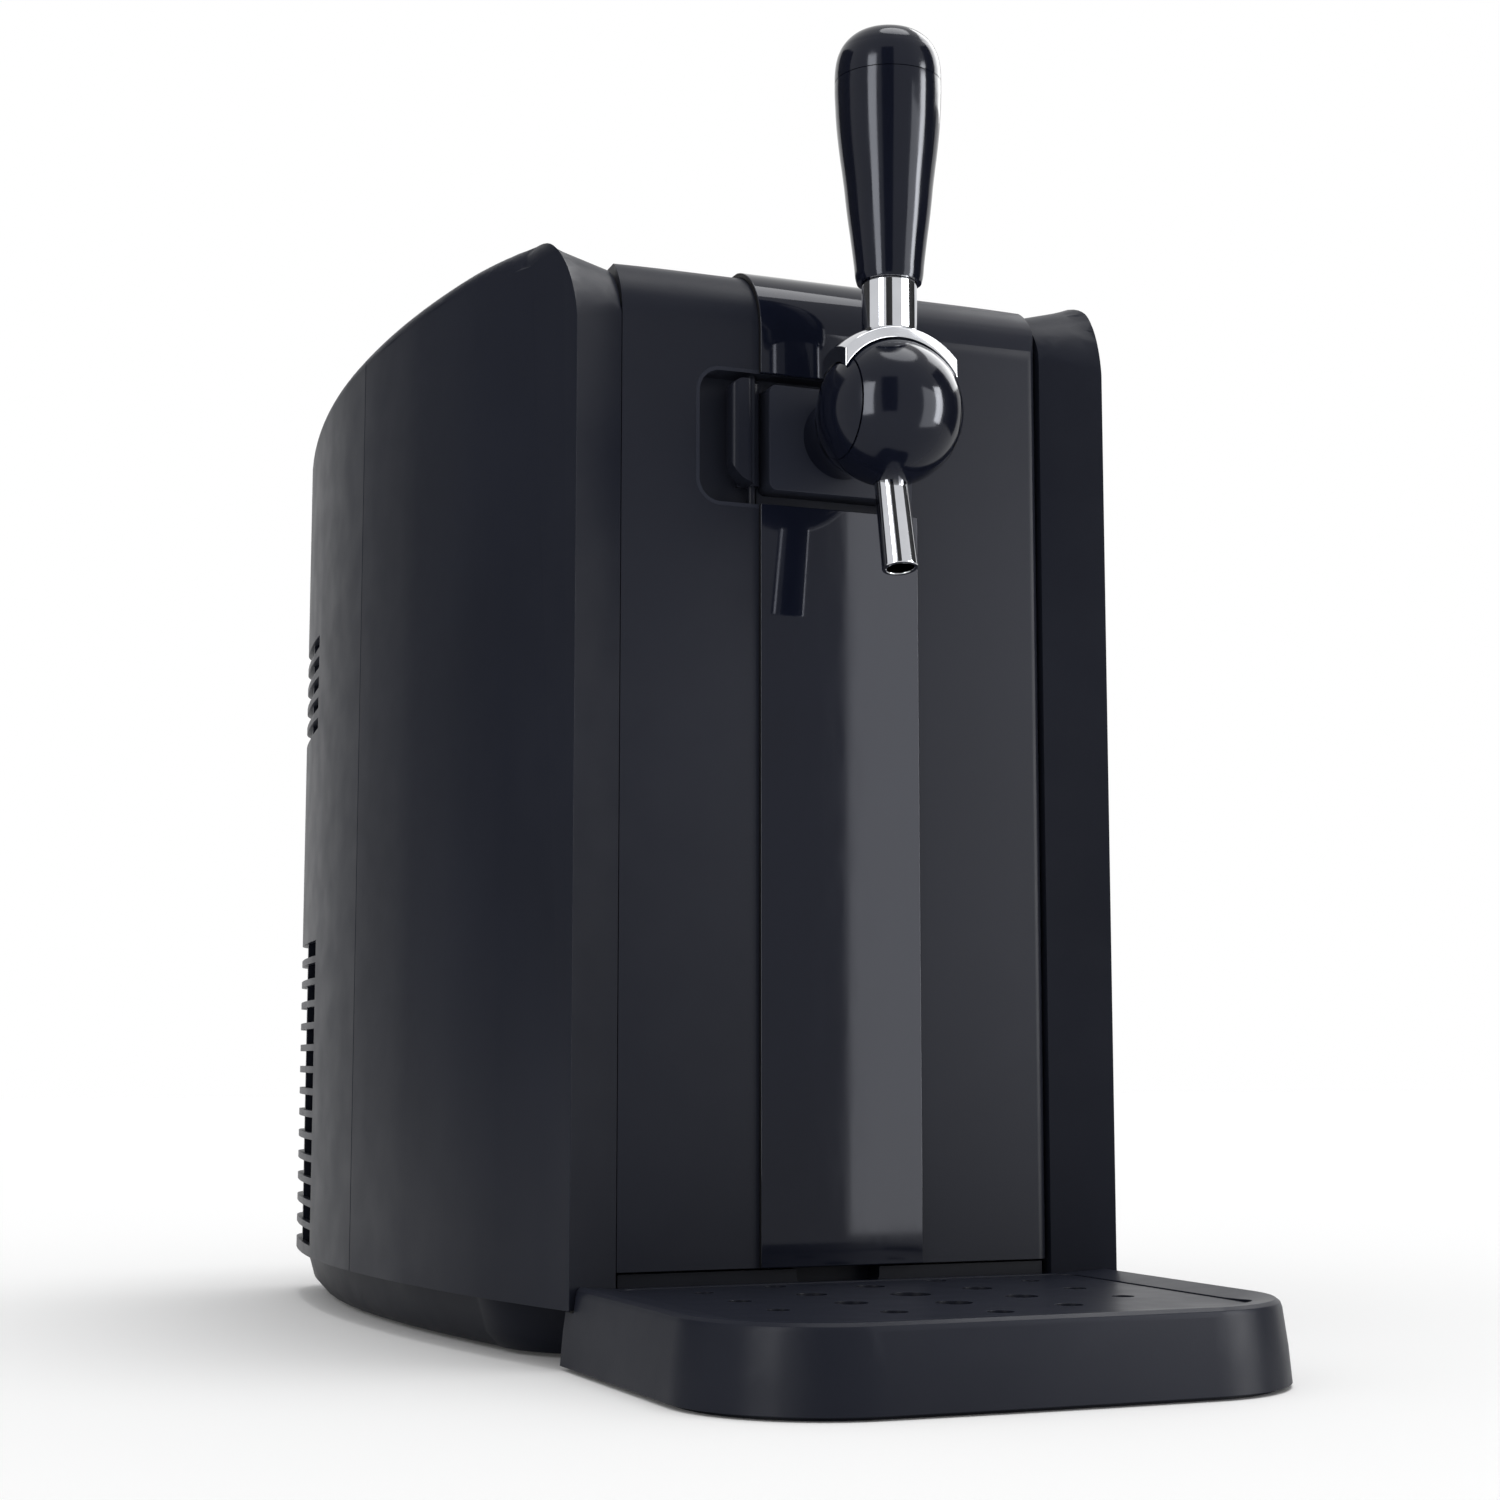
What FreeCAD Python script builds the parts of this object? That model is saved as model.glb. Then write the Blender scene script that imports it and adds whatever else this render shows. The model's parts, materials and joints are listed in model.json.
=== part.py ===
import FreeCAD, Part
import math
import os

os.makedirs("parts", exist_ok=True)
Vec = FreeCAD.Vector
X_AXIS = Vec(1, 0, 0)
Y_AXIS = Vec(0, 1, 0)
Z_AXIS = Vec(0, 0, 1)

# Driving dimensions, in mm. Front is -Y, up is +Z, the floor is z = 0.
overall_depth = 504.5
rear_y = overall_depth / 2
body_depth = 363.5
crease_y = rear_y - body_depth
wall = 2.5
seam_gap = 0.6

# Casing hull: the plan outline of each side is a chain of tangent arcs, from the front crease to the rear.
crease_half_width = 101.9
crease_flare = 0.27
widest_half_width = 131.0
widest_y = crease_y + 200.0
shoulder_drop = 8.4
shoulder_half_width = widest_half_width - shoulder_drop
shoulder_y = crease_y + 312.0
rear_corner_radius = 44.0
rear_bow_radius = 900.0
hull_rear_y = rear_y
hull_bottom = 19.4
roof_crest = 386.8
roof_crest_y = crease_y + 50.0
roof_radius = 2600.0
hull_edge_radius = 6.0
dish_half_width = 81.7
dish_spread = 28.0
dish_rear_y = crease_y + 252.0
return_half_width = 82.2
seam_y = crease_y + 183.5

# Door
door_half_width = 81.3
door_face_y = crease_y + 11.5
door_bottom = 30.15
door_top = 382.3
door_crown_drop = 3.1
door_roll_radius = 26.0
door_skin = 3.0
door_corner_radius = 4.5
liner_face_y = crease_y + 24.5
frame_face_y = crease_y + 27.0
frame_depth = 3.0
door_lip_y = crease_y + 38.0
door_left_taper = 1.9
strip_half_width = 30.5
strip_proud = 2.0
crown_edge = door_top - door_crown_drop
door_roll_z = door_top - door_roll_radius
hinge_x = door_half_width - door_corner_radius
hinge_y = door_face_y + door_corner_radius

# Keg chamber
chamber_half_width = 75.5
chamber_floor = 46.0
chamber_ceiling = 342.0
chamber_centre_y = crease_y + 105.0
liner_wall = 1.5
foam_thickness = 18.0

# Tap
tap_y = crease_y - 32.0
tap_z = 319.5
ball_radius = 25.3
cap_x = 17.3
spout_tilt = 12.3
cap_seam = 444.3
handle_top = 456.1

# Drip tray
tray_front_y = -rear_y
tray_rear_y = crease_y + 8.0
tray_bottom = 1.3
tray_height = 26.9
tray_half_width = 102.3
tray_corner_radius = 48.5
tray_bow = 0.8
cover_top = 25.0
cover_half = 85.0
cover_front_y = tray_front_y + 25.0


def box(x0, x1, y0, y1, z0, z1):
    return Part.makeBox(x1 - x0, y1 - y0, z1 - z0, Vec(x0, y0, z0))


def cylinder(radius, base, direction, length):
    return Part.makeCylinder(radius, length, base, direction)


def extruded(points, direction):
    wire = Part.makePolygon(points + [points[0]])
    return Part.Face(wire).extrude(direction)


def slab_xy(points, z0, z1):
    return extruded([Vec(x, y, z0) for x, y in points], Vec(0, 0, z1 - z0))


def slab_yz(points, x0, x1):
    return extruded([Vec(x0, y, z) for y, z in points], Vec(x1 - x0, 0, 0))


def slab_xz(points, y0, y1):
    return extruded([Vec(x, y0, z) for x, z in points], Vec(0, y1 - y0, 0))


def rounded(shape, radius, axis):
    # Rounds every edge of the shape that runs along the axis.
    edges = []
    for edge in shape.Edges:
        start = edge.Vertexes[0].Point
        end = edge.Vertexes[-1].Point
        run = end - start
        if run.Length > 1e-6 and abs(run.normalize().dot(axis)) > 0.999:
            edges.append(edge)
    return shape.makeFillet(radius, edges)


def turned(profile, centre, axis):
    # Profile points are (distance along the axis, radius).
    side = X_AXIS if abs(axis.dot(X_AXIS)) < 0.5 else Y_AXIS
    points = [centre + axis * along + side * radius for along, radius in profile]
    face = Part.Face(Part.makePolygon(points + [points[0]]))
    return face.revolve(centre, axis, 360)


def ball_form(radius, centre, steps):
    # A ball turned about X from a fine chain of short cones.
    profile = []
    for step in range(steps + 1):
        angle = math.pi * step / steps
        profile.append((-radius * math.cos(angle), radius * math.sin(angle)))
    profile[0] = (-radius, 0)
    profile[-1] = (radius, 0)
    return turned(profile, centre, X_AXIS)


def fused(shapes):
    result = shapes[0]
    if len(shapes) > 1:
        result = result.multiFuse(shapes[1:])
    return result.removeSplitter()


def mirrored(shape):
    return shape.mirror(Vec(0, 0, 0), X_AXIS)


def save(name, shape):
    shape.exportStep("parts/" + name + ".step")


# Casing hull
def arc_centre(start, heading, end):
    # Centre of the arc that leaves the start along the heading and reaches the end.
    normal = Vec(-heading.y, heading.x, 0).normalize()
    chord = end - start
    return start + normal * (chord.dot(chord) / (2 * chord.dot(normal)))


crease_point = Vec(crease_half_width, crease_y, 0)
widest_point = Vec(widest_half_width, widest_y, 0)
shoulder_point = Vec(shoulder_half_width, shoulder_y, 0)
front_centre = arc_centre(crease_point, Vec(crease_flare, 1, 0), widest_point)
front_radius = (widest_point - front_centre).Length
widest_run = Vec(front_centre.y - widest_point.y, widest_point.x - front_centre.x, 0)
back_centre = arc_centre(widest_point, widest_run, shoulder_point)
back_radius = (widest_point - back_centre).Length
bow_centre = Vec(0, hull_rear_y - rear_bow_radius, 0)
centre_gap = bow_centre - back_centre
reach_back = back_radius - rear_corner_radius
reach_bow = rear_bow_radius - rear_corner_radius
along_gap = (centre_gap.dot(centre_gap) + reach_back ** 2 - reach_bow ** 2) / (2 * centre_gap.Length)
gap_run = Vec(centre_gap).normalize()
gap_side = Vec(gap_run.y, -gap_run.x, 0)
if gap_side.y < 0:
    gap_side = gap_side * -1
corner_centre = back_centre + gap_run * along_gap + gap_side * math.sqrt(reach_back ** 2 - along_gap ** 2)
back_end = (corner_centre - back_centre).normalize()
bow_start = (corner_centre - bow_centre).normalize()


def slope_normal():
    run = Vec(crease_half_width - return_half_width, crease_y - door_face_y, 0)
    return Vec(-run.y, run.x, 0).normalize()


def corner_inset(corner, first_normal, second_normal, inset):
    first = Vec(first_normal).normalize()
    return corner + (first + second_normal) * (inset / (1 + first.dot(second_normal)))


def round_arc(start, end, centre, radius):
    middle = ((start - centre).normalize() + (end - centre).normalize()).normalize()
    return Part.Arc(start, centre + middle * radius, end).toShape()


def side_edges(start, inset):
    # Right-hand outline from a start point on the front arc to the middle of the rear.
    knots = [widest_point + (front_centre - widest_point).normalize() * inset,
             back_centre + back_end * (back_radius - inset),
             bow_centre + bow_start * (rear_bow_radius - inset),
             Vec(0, hull_rear_y - inset, 0)]
    centres = [(front_centre, front_radius), (back_centre, back_radius),
               (corner_centre, rear_corner_radius), (bow_centre, rear_bow_radius)]
    edges = []
    at = start
    for knot, (centre, radius) in zip(knots, centres):
        edges.append(round_arc(at, knot, centre, radius - inset))
        at = knot
    return edges


def on_front_arc(y, inset):
    radius = front_radius - inset
    return Vec(front_centre.x + math.sqrt(radius ** 2 - (y - front_centre.y) ** 2), y, 0)


def hull_plan(inset):
    side_normal = (front_centre - crease_point).normalize()
    crease = corner_inset(crease_point, side_normal, slope_normal(), inset)
    edge = corner_inset(Vec(return_half_width, door_face_y, 0), X_AXIS, slope_normal(), inset)
    back = Vec(return_half_width + inset, frame_face_y + inset, 0)
    right = [Part.makeLine(back, edge), Part.makeLine(edge, crease)] + side_edges(crease, inset)
    left = [mirrored(piece) for piece in right]
    front = [Part.makeLine(Vec(-back.x, back.y, 0), back)]
    ordered = Part.sortEdges(right + left + front)[0]
    return Part.Face(Part.Wire(ordered))


def hull(inset):
    # The roof is a long arc in side view, highest near the front.
    low = hull_bottom - 10 * (inset > 0)
    body = hull_plan(inset).extrude(Vec(0, 0, roof_crest + 5 - low))
    body.translate(Vec(0, 0, low))
    roof_centre = Vec(-200, roof_crest_y, roof_crest - roof_radius)
    body = body.common(cylinder(roof_radius - inset, roof_centre, X_AXIS, 400))
    if inset == 0:
        body = round_hull_edges(body)
    # The roof falls inward to the door and the top cover.
    lower = inset * 1.12
    body = body.cut(roof_dish(lower))
    roll = front_roll(inset)
    return body.cut(roll).cut(mirrored(roll))


def round_hull_edges(body):
    chosen = []
    for edge in body.Edges:
        middle = edge.valueAt((edge.FirstParameter + edge.LastParameter) / 2)
        outside = abs(middle.x) > crease_half_width - 1 or middle.y > crease_y + 300
        if outside and middle.z > door_roll_z and edge.Length > 5 and is_outer(middle):
            chosen.append(edge)
    return body.makeFillet(hull_edge_radius, chosen)


def is_outer(point):
    outline = hull_plan(0).Wires[0]
    flat = Part.Vertex(Vec(point.x, point.y, 0))
    return outline.distToShape(flat)[0] < 0.5 and abs(point.x) + point.y > 0


def roof_dish(lower):
    sections = []
    for half, rear, height in ((dish_half_width, dish_rear_y, crown_edge),
                               (dish_half_width + dish_spread * 2, dish_rear_y + dish_spread * 2,
                                crown_edge + (roof_crest - crown_edge) * 2)):
        front = crease_y - 60
        corners = [Vec(-half, front, height), Vec(half, front, height),
                   Vec(half, rear, height), Vec(-half, rear, height)]
        sections.append(Part.makePolygon(corners + [corners[0]]))
    dish = Part.makeLoft(sections, True, True)
    dish.translate(Vec(0, 0, -lower))
    return dish


def front_roll(inset):
    # What the wing loses where its front rolls back into the roof, as the door does beside it.
    radius = door_roll_radius - inset
    x = dish_half_width
    face = door_face_y + inset
    centre = Vec(x, face + radius, crown_edge - inset * 1.12 - radius)
    lean = radius * math.sqrt(0.5)
    start = centre - Vec(0, radius, 0)
    end = centre + Vec(0, 0, radius)
    arc = Part.Arc(start, centre + Vec(0, -lean, lean), end).toShape()
    far = [Vec(x, end.y, end.z + 40), Vec(x, face - 40, end.z + 40), Vec(x, face - 40, start.z)]
    edges = [arc] + [Part.makeLine(first, second) for first, second in zip([end] + far, far + [start])]
    rise = (roof_crest - crown_edge) / dish_spread
    reach = crease_half_width - return_half_width
    along = Vec(reach, crease_y - door_face_y, rise * reach)
    roll = Part.Face(Part.Wire(edges)).extrude(along * 2.2)
    return roll


outer_hull = hull(0)
inner_hull = hull(wall)
inner_hull = inner_hull.fuse(box(-return_half_width - wall, return_half_width + wall,
                                 frame_face_y, frame_face_y + 20, hull_bottom - 10, crown_edge - 3))
shell = outer_hull.cut(inner_hull)

side_zone = box(return_half_width, 150, crease_y - 5, seam_y - seam_gap / 2, 0, 400)
side_shell_right = shell.common(side_zone)

# Boss posts inside each side shell take the screws of the rear cover.
post_zone = inner_hull.common(side_zone)
for height in (60.0, 320.0):
    post = box(return_half_width + 16, 150, seam_y - 22, seam_y - seam_gap / 2, height - 7, height + 7)
    post = post.cut(cylinder(2.1, Vec(return_half_width + 26, seam_y - 30, height), Y_AXIS, 40))
    side_shell_right = side_shell_right.fuse(post.common(post_zone))
side_shell_right = side_shell_right.removeSplitter()
side_shell_left = mirrored(side_shell_right)

save("side_shell_right", side_shell_right)
save("side_shell_left", side_shell_left)

# Rear cover with its two grilles
grille_front_y = crease_y + 257.0
grille_pitch = 9.2
grille_slot = 6.4
grille_count = 14
grille_bottom = 24.0
louvre_front_y = crease_y + 264.0
louvre_pitch = 8.9
louvre_slot = 1.9
louvre_scoop = 4.0
louvre_depth = 2.2
louvre_count = 5
louvre_bottom = 239.0

rear_zone = box(-150, 150, seam_y + seam_gap / 2, rear_y + 5, 0, 400)
top_cover_gap = 0.5
top_cover_rear_y = crease_y + 240.0
roof_opening = box(-dish_half_width, dish_half_width, seam_y - 5, top_cover_rear_y + top_cover_gap,
                   crown_edge - 10, crown_edge + 20)
rear_cover = shell.common(rear_zone).cut(roof_opening)


def rear_slot(front, low, height):
    return box(-150, 150, front, rear_y + 5, low, low + height)


def louvre_blade(low):
    # A scoop: its blade leans in from the outer skin and leaves a slot over its upper edge.
    skins = []
    for depth in (0, 2.0):
        wires = []
        for inset, height in ((depth, low), (depth + louvre_depth, low + louvre_scoop)):
            wire = hull_plan(inset).OuterWire
            wire.translate(Vec(0, 0, height))
            wires.append(wire)
        skins.append(Part.makeLoft(wires, True, True))
    return skins[0].cut(skins[1]).common(rear_slot(louvre_front_y, low, louvre_scoop))


louvre_lows = [louvre_bottom + louvre_pitch * step for step in range(louvre_count)]
slots = [rear_slot(grille_front_y, grille_bottom + grille_pitch * step, grille_slot)
         for step in range(grille_count)]
slots += [rear_slot(louvre_front_y, low, louvre_scoop + louvre_slot) for low in louvre_lows]
rear_cover = rear_cover.cut(Part.makeCompound(slots))
rear_cover = rear_cover.fuse([louvre_blade(low) for low in louvre_lows])

# Upright ribs behind the bars tie the two grilles together from the inside.
rib_skin = hull_plan(1.2).extrude(Vec(0, 0, 300)).cut(hull_plan(6.0).extrude(Vec(0, 0, 300)))
rib_height = grille_bottom + grille_pitch * grille_count
outer_rib_x = shoulder_half_width - 18.6
rib_places = [box(x - 1.5, x + 1.5, grille_front_y, rear_y, 0, 400)
              for x in (-outer_rib_x, -60.0, 60.0, outer_rib_x)]
rib_y = crease_y + 296.0
rib_places.append(box(-150, 150, rib_y - 1.5, rib_y + 1.5, 0, 400))
for place in rib_places:
    for low, high in ((hull_bottom, rib_height + 4), (louvre_bottom - 8, louvre_bottom + 50)):
        rib = rib_skin.common(place).common(box(-150, 150, 0, 400, low, high))
        rear_cover = rear_cover.fuse(rib)

# A flat block in the middle of the lower grille carries the mains inlet and the switch.
inlet_x = -16.0
inlet_z = 58.0
inlet_half_width = 14.0
inlet_half_height = 10.5
switch_x = 18.0
switch_half_width = 7.5
switch_half_height = 10.5
block = box(-38, 38, rear_y - 16, rear_y - 1.2, inlet_z - 20, inlet_z + 20)
block = rounded(block, 3.0, Y_AXIS)
inlet_hole = box(inlet_x - inlet_half_width, inlet_x + inlet_half_width, rear_y - 20, rear_y + 2,
                 inlet_z - inlet_half_height, inlet_z + inlet_half_height)
switch_hole = box(switch_x - switch_half_width, switch_x + switch_half_width, rear_y - 20, rear_y + 2,
                  inlet_z - switch_half_height, inlet_z + switch_half_height)
rear_cover = rear_cover.fuse(block).cut(inlet_hole.fuse(switch_hole))

# Four screws hold the rear cover to the posts of the side shells.
screw_heights = (60.0, 320.0)
screw_x = return_half_width + 26
for side in (-1, 1):
    for height in screw_heights:
        ear = box(screw_x - 8, 150, seam_y + seam_gap / 2, seam_y + 4.5, height - 8, height + 8)
        if side < 0:
            ear = mirrored(ear)
        ear = ear.common(inner_hull)
        ear = ear.cut(cylinder(2.3, Vec(side * screw_x, seam_y - 5, height), Y_AXIS, 20))
        rear_cover = rear_cover.fuse(ear)
rear_cover = rear_cover.removeSplitter()
save("rear_cover", rear_cover)

screws = []
for side in (-1, 1):
    for height in screw_heights:
        head_face = Vec(side * screw_x, seam_y + 4.5, height)
        head = cylinder(4.0, head_face, Y_AXIS, 2.6)
        screws.append(head.fuse(cylinder(2.0, head_face, Y_AXIS * -1, 18)))
save("casing_screws", Part.makeCompound(screws))

# Top cover with window, screen, button and control board
top_cover_half = dish_half_width - 0.3
top_front_y = door_lip_y + 1.0


def crown_points(half, drop_at_half, top, count):
    points = []
    for step in range(count + 1):
        x = -half + 2 * half * step / count
        points.append((x, top - drop_at_half * (x / half) ** 2))
    return points


def crowned_slab(half, top, drop, thickness, y0, y1):
    outline = crown_points(half, drop, top, 12)
    under = [(x, z - thickness) for x, z in reversed(outline)]
    return slab_xz(outline + under, y0, y1)


top_cover = crowned_slab(top_cover_half, door_top, door_crown_drop, 3.0, top_front_y, top_cover_rear_y)
skirt = box(-top_cover_half + 4, top_cover_half - 4, top_front_y, top_front_y + 2.5, 366, crown_edge - 2)
top_cover = top_cover.fuse(skirt)
screen_rear_y = top_front_y + 92
window_recess = box(-strip_half_width, strip_half_width, top_front_y - 1, screen_rear_y, door_top - 2.0, 400)
screen_hole = box(-22, 22, top_front_y + 14, top_front_y + 54, 360, 400)
button_y = top_front_y + 72
button_radius = 8.0
button_hole = cylinder(button_radius + 0.5, Vec(0, button_y, 360), Z_AXIS, 40)
top_cover = top_cover.cut(window_recess).cut(screen_hole).cut(button_hole)
# Rails under the long edges rest on the foam jacket and hold the cover up.
jacket_top = chamber_ceiling + liner_wall + foam_thickness
for side_x in (-62.0, 62.0):
    rail = box(side_x - 1.5, side_x + 1.5, top_front_y + 2, crease_y + 150, jacket_top, crown_edge - 1.0)
    top_cover = top_cover.fuse(rail)
top_cover = top_cover.removeSplitter()
save("top_cover", top_cover)

window_top = door_top + strip_proud
window_half = strip_half_width - 0.15
window_outline = crown_points(window_half, 0.4, window_top, 6)
window = slab_xz(window_outline + [(window_half, door_top - 2.0), (-window_half, door_top - 2.0)],
                 top_front_y, screen_rear_y - 0.15)
window = window.cut(cylinder(button_radius + 0.5, Vec(0, button_y, 360), Z_AXIS, 40))
save("display_window", window)

board_z = jacket_top + 9.0
screen = box(-21, 21, top_front_y + 15, top_front_y + 53, board_z + 1.6, door_top - 2.0)
save("display_screen", screen)

button_travel = 1.2
button_top = window_top + 0.5
button = cylinder(button_radius, Vec(0, button_y, door_top - 3.6), Z_AXIS, button_top - door_top + 3.6)
button = button.makeChamfer(0.5, [button.Edges[0]])
button = button.fuse(cylinder(2.0, Vec(0, button_y, door_top - 6.4), Z_AXIS, 3.0))
save("display_button", button)

# Control board with its parts, on four posts over the foam jacket.
board = box(-46, 46, top_front_y + 8, top_front_y + 100, board_z, board_z + 1.6)
board_parts = [board]
for x in (-42, 42):
    for y in (top_front_y + 12, top_front_y + 96):
        board_parts.append(cylinder(3.0, Vec(x, y, jacket_top), Z_AXIS, board_z - jacket_top))
for x, y, half_x, half_y, height in ((-34, 40, 6, 6, 2.2), (34, 40, 5, 8, 4.5), (-34, 72, 5, 4, 3.0),
                                     (34, 74, 7, 4, 5.5), (0, 92, 9, 4, 3.5)):
    part_y = top_front_y + y
    board_parts.append(box(x - half_x, x + half_x, part_y - half_y, part_y + half_y,
                           board_z + 1.6, board_z + 1.6 + height))
board_parts.append(box(-3, 3, button_y - 3, button_y + 3,
                       board_z + 1.6, door_top - 6.4 - button_travel - 0.2))
save("control_board", fused(board_parts))

# Base
plinth_front_y = frame_face_y
plinth_bottom = 1.5
plinth_sections = [(plinth_bottom, 13.0), (7.0, 8.0), (hull_bottom, 4.5)]


def plinth_wire(inset, height):
    front_half = 66.0
    start = on_front_arc(crease_y + 70.0, inset)
    elbow = Vec(start.x - 13.0, plinth_front_y + 11.0, 0)
    bend = Part.Arc(Vec(front_half, plinth_front_y, 0), elbow, start).toShape()
    right = [bend] + side_edges(start, inset)
    front = [Part.makeLine(Vec(-front_half, plinth_front_y, 0), Vec(front_half, plinth_front_y, 0))]
    wire = Part.Wire(Part.sortEdges(right + [mirrored(piece) for piece in right] + front)[0])
    wire.translate(Vec(0, 0, height))
    return wire


plinth = Part.makeLoft([plinth_wire(inset, height) for height, inset in plinth_sections], True, True)
hollow_sections = [(plinth_bottom + 2.0, 13.0), (hull_bottom - wall, 5.0)]
hollow = Part.makeLoft([plinth_wire(inset + wall, height) for height, inset in hollow_sections], True, True)
plinth = plinth.cut(hollow)
# Cross ribs and foot bosses stiffen the base between floor and deck.
foot_places = [(-78.0, crease_y + 60.0), (78.0, crease_y + 60.0),
               (-80.0, crease_y + 320.0), (80.0, crease_y + 320.0)]
foot_radius = 9.0
for rib_y in (crease_y + 120, crease_y + 205, crease_y + 290):
    rib = box(-140, 140, rib_y - 1.2, rib_y + 1.2, plinth_bottom + 1, hull_bottom - 1)
    plinth = plinth.fuse(rib.common(hollow))
for x, y in foot_places:
    plinth = plinth.fuse(cylinder(foot_radius + 3, Vec(x, y, plinth_bottom + 1), Z_AXIS, hull_bottom - 2.5))
    plinth = plinth.cut(cylinder(foot_radius + 0.1, Vec(x, y, plinth_bottom - 1), Z_AXIS, 3.0))
# Two channels take the rails of the drip tray.
rail_x = 62.0
rail_half_width = 7.0
rail_bottom = 4.0
rail_top = 9.0
rail_clearance = 0.6
rail_reach = 46.0


def rail_channel(margin, rear):
    return box(rail_x - rail_half_width - margin, rail_x + rail_half_width + margin, tray_rear_y - 5, rear,
               rail_bottom - margin, rail_top + margin)


channel_rear = tray_rear_y + rail_reach + 1.5
guides = rail_channel(rail_clearance + 1.8, channel_rear + 1.8).common(hollow)
channel = rail_channel(rail_clearance, channel_rear)
plinth = plinth.fuse(guides).fuse(mirrored(guides)).cut(channel).cut(mirrored(channel))
save("base_plinth", plinth.removeSplitter())

feet = []
for x, y in foot_places:
    foot = cylinder(foot_radius, Vec(x, y, 0), Z_AXIS, plinth_bottom + 2.0)
    feet.append(foot.makeChamfer(0.7, [foot.Edges[2]]))
save("rubber_feet", Part.makeCompound(feet))

sill_face_y = crease_y + 14.0
sill_top = 29.3
sill = box(-80.5, 79.5, sill_face_y, frame_face_y, plinth_bottom, sill_top)
notch = box(-15.6, 15.6, sill_face_y - 2, sill_face_y + 9, 23.0, sill_top + 2)
notch = rounded(notch, 4.0, Y_AXIS)
sill = sill.cut(notch.fuse(box(-15.6, 15.6, sill_face_y - 2, sill_face_y + 9, 26.0, sill_top + 2)))
sill_hollow = box(-78, 77, sill_face_y + wall, frame_face_y + 1, plinth_bottom + wall, sill_top - wall)
backing = box(-19, 19, sill_face_y + wall - 1, frame_face_y + 1, 19.0, sill_top - wall + 1)
sill_hollow = sill_hollow.cut(backing)
sill = sill.cut(sill_hollow).cut(channel).cut(mirrored(channel))
save("front_sill", sill.removeSplitter())

# Keg chamber with its foam jacket and cooling parts


def chamber_plan(grow, front_y):
    half = chamber_half_width + grow
    centre = Vec(0, chamber_centre_y, 0)
    arc = Part.Arc(centre + Vec(half, 0, 0), centre + Vec(0, half, 0), centre + Vec(-half, 0, 0)).toShape()
    edges = [arc, Part.makeLine(centre + Vec(-half, 0, 0), Vec(-half, front_y, 0)),
             Part.makeLine(Vec(-half, front_y, 0), Vec(half, front_y, 0)),
             Part.makeLine(Vec(half, front_y, 0), centre + Vec(half, 0, 0))]
    return Part.Face(Part.Wire(edges))


def chamber_form(grow, front_y, low, high):
    form = chamber_plan(grow, front_y).extrude(Vec(0, 0, high - low))
    form.translate(Vec(0, 0, low))
    return form


frame_rear_y = frame_face_y + frame_depth
chamber_space = chamber_form(0, frame_face_y - 5, chamber_floor, chamber_ceiling)
liner = chamber_form(liner_wall, frame_rear_y, chamber_floor - liner_wall, chamber_ceiling + liner_wall)
gas_x = 0.0
gas_y = chamber_centre_y + 45.0
gas_hole = cylinder(8.1, Vec(gas_x, gas_y, chamber_ceiling - 5), Z_AXIS, 40)
liner = liner.cut(chamber_space).cut(gas_hole)
save("chamber_liner", liner)

jacket = chamber_form(liner_wall + foam_thickness, frame_rear_y, hull_bottom, jacket_top)
jacket = jacket.cut(chamber_form(liner_wall, frame_rear_y - 1, chamber_floor - liner_wall,
                                 chamber_ceiling + liner_wall))
block_half = 30.0
block_z = 190.0
block_rear_y = chamber_centre_y + chamber_half_width + liner_wall + foam_thickness + 2
block_window = box(-block_half, block_half, chamber_centre_y + 40, block_rear_y, block_z - block_half,
                   block_z + block_half)
jacket = jacket.cut(block_window).cut(gas_hole)
save("insulation_jacket", jacket)

cold_block = block_window.cut(chamber_form(liner_wall, frame_rear_y, 0, 400))
save("cold_block", cold_block)

module_depth = 4.0
module = box(-20, 20, block_rear_y, block_rear_y + module_depth, block_z - 20, block_z + 20)
save("cooling_module", module)

sink_y = block_rear_y + module_depth
sink_base = 7.0
fin_rear_y = sink_y + 36.0
sink = [box(-46, 46, sink_y, sink_y + sink_base, block_z - 46, block_z + 46)]
fin_count = 13
for step in range(fin_count):
    fin_x = -45.2 + 90.4 * step / (fin_count - 1)
    sink.append(box(fin_x - 0.8, fin_x + 0.8, sink_y + sink_base, fin_rear_y, block_z - 46, block_z + 46))
save("heat_sink", fused(sink))

fan_depth = 25.0
fan_bore = 43.0
fan_y = fin_rear_y
fan_centre = Vec(0, fan_y, block_z)
fan_frame = rounded(box(-46, 46, fan_y, fan_y + fan_depth, block_z - 46, block_z + 46), 5.0, Y_AXIS)
fan_frame = fan_frame.cut(cylinder(fan_bore, fan_centre, Y_AXIS, fan_depth))
hub_seat = cylinder(17.0, fan_centre, Y_AXIS, 3.0)
spokes = [box(-1.5, 1.5, fan_y, fan_y + 3, block_z - 45, block_z + 45),
          box(-45, 45, fan_y, fan_y + 3, block_z - 1.5, block_z + 1.5)]
axle_radius = 1.6
axle = cylinder(axle_radius, fan_centre, Y_AXIS, 20)
save("fan_frame", fused([fan_frame, hub_seat, axle] + spokes))

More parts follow.
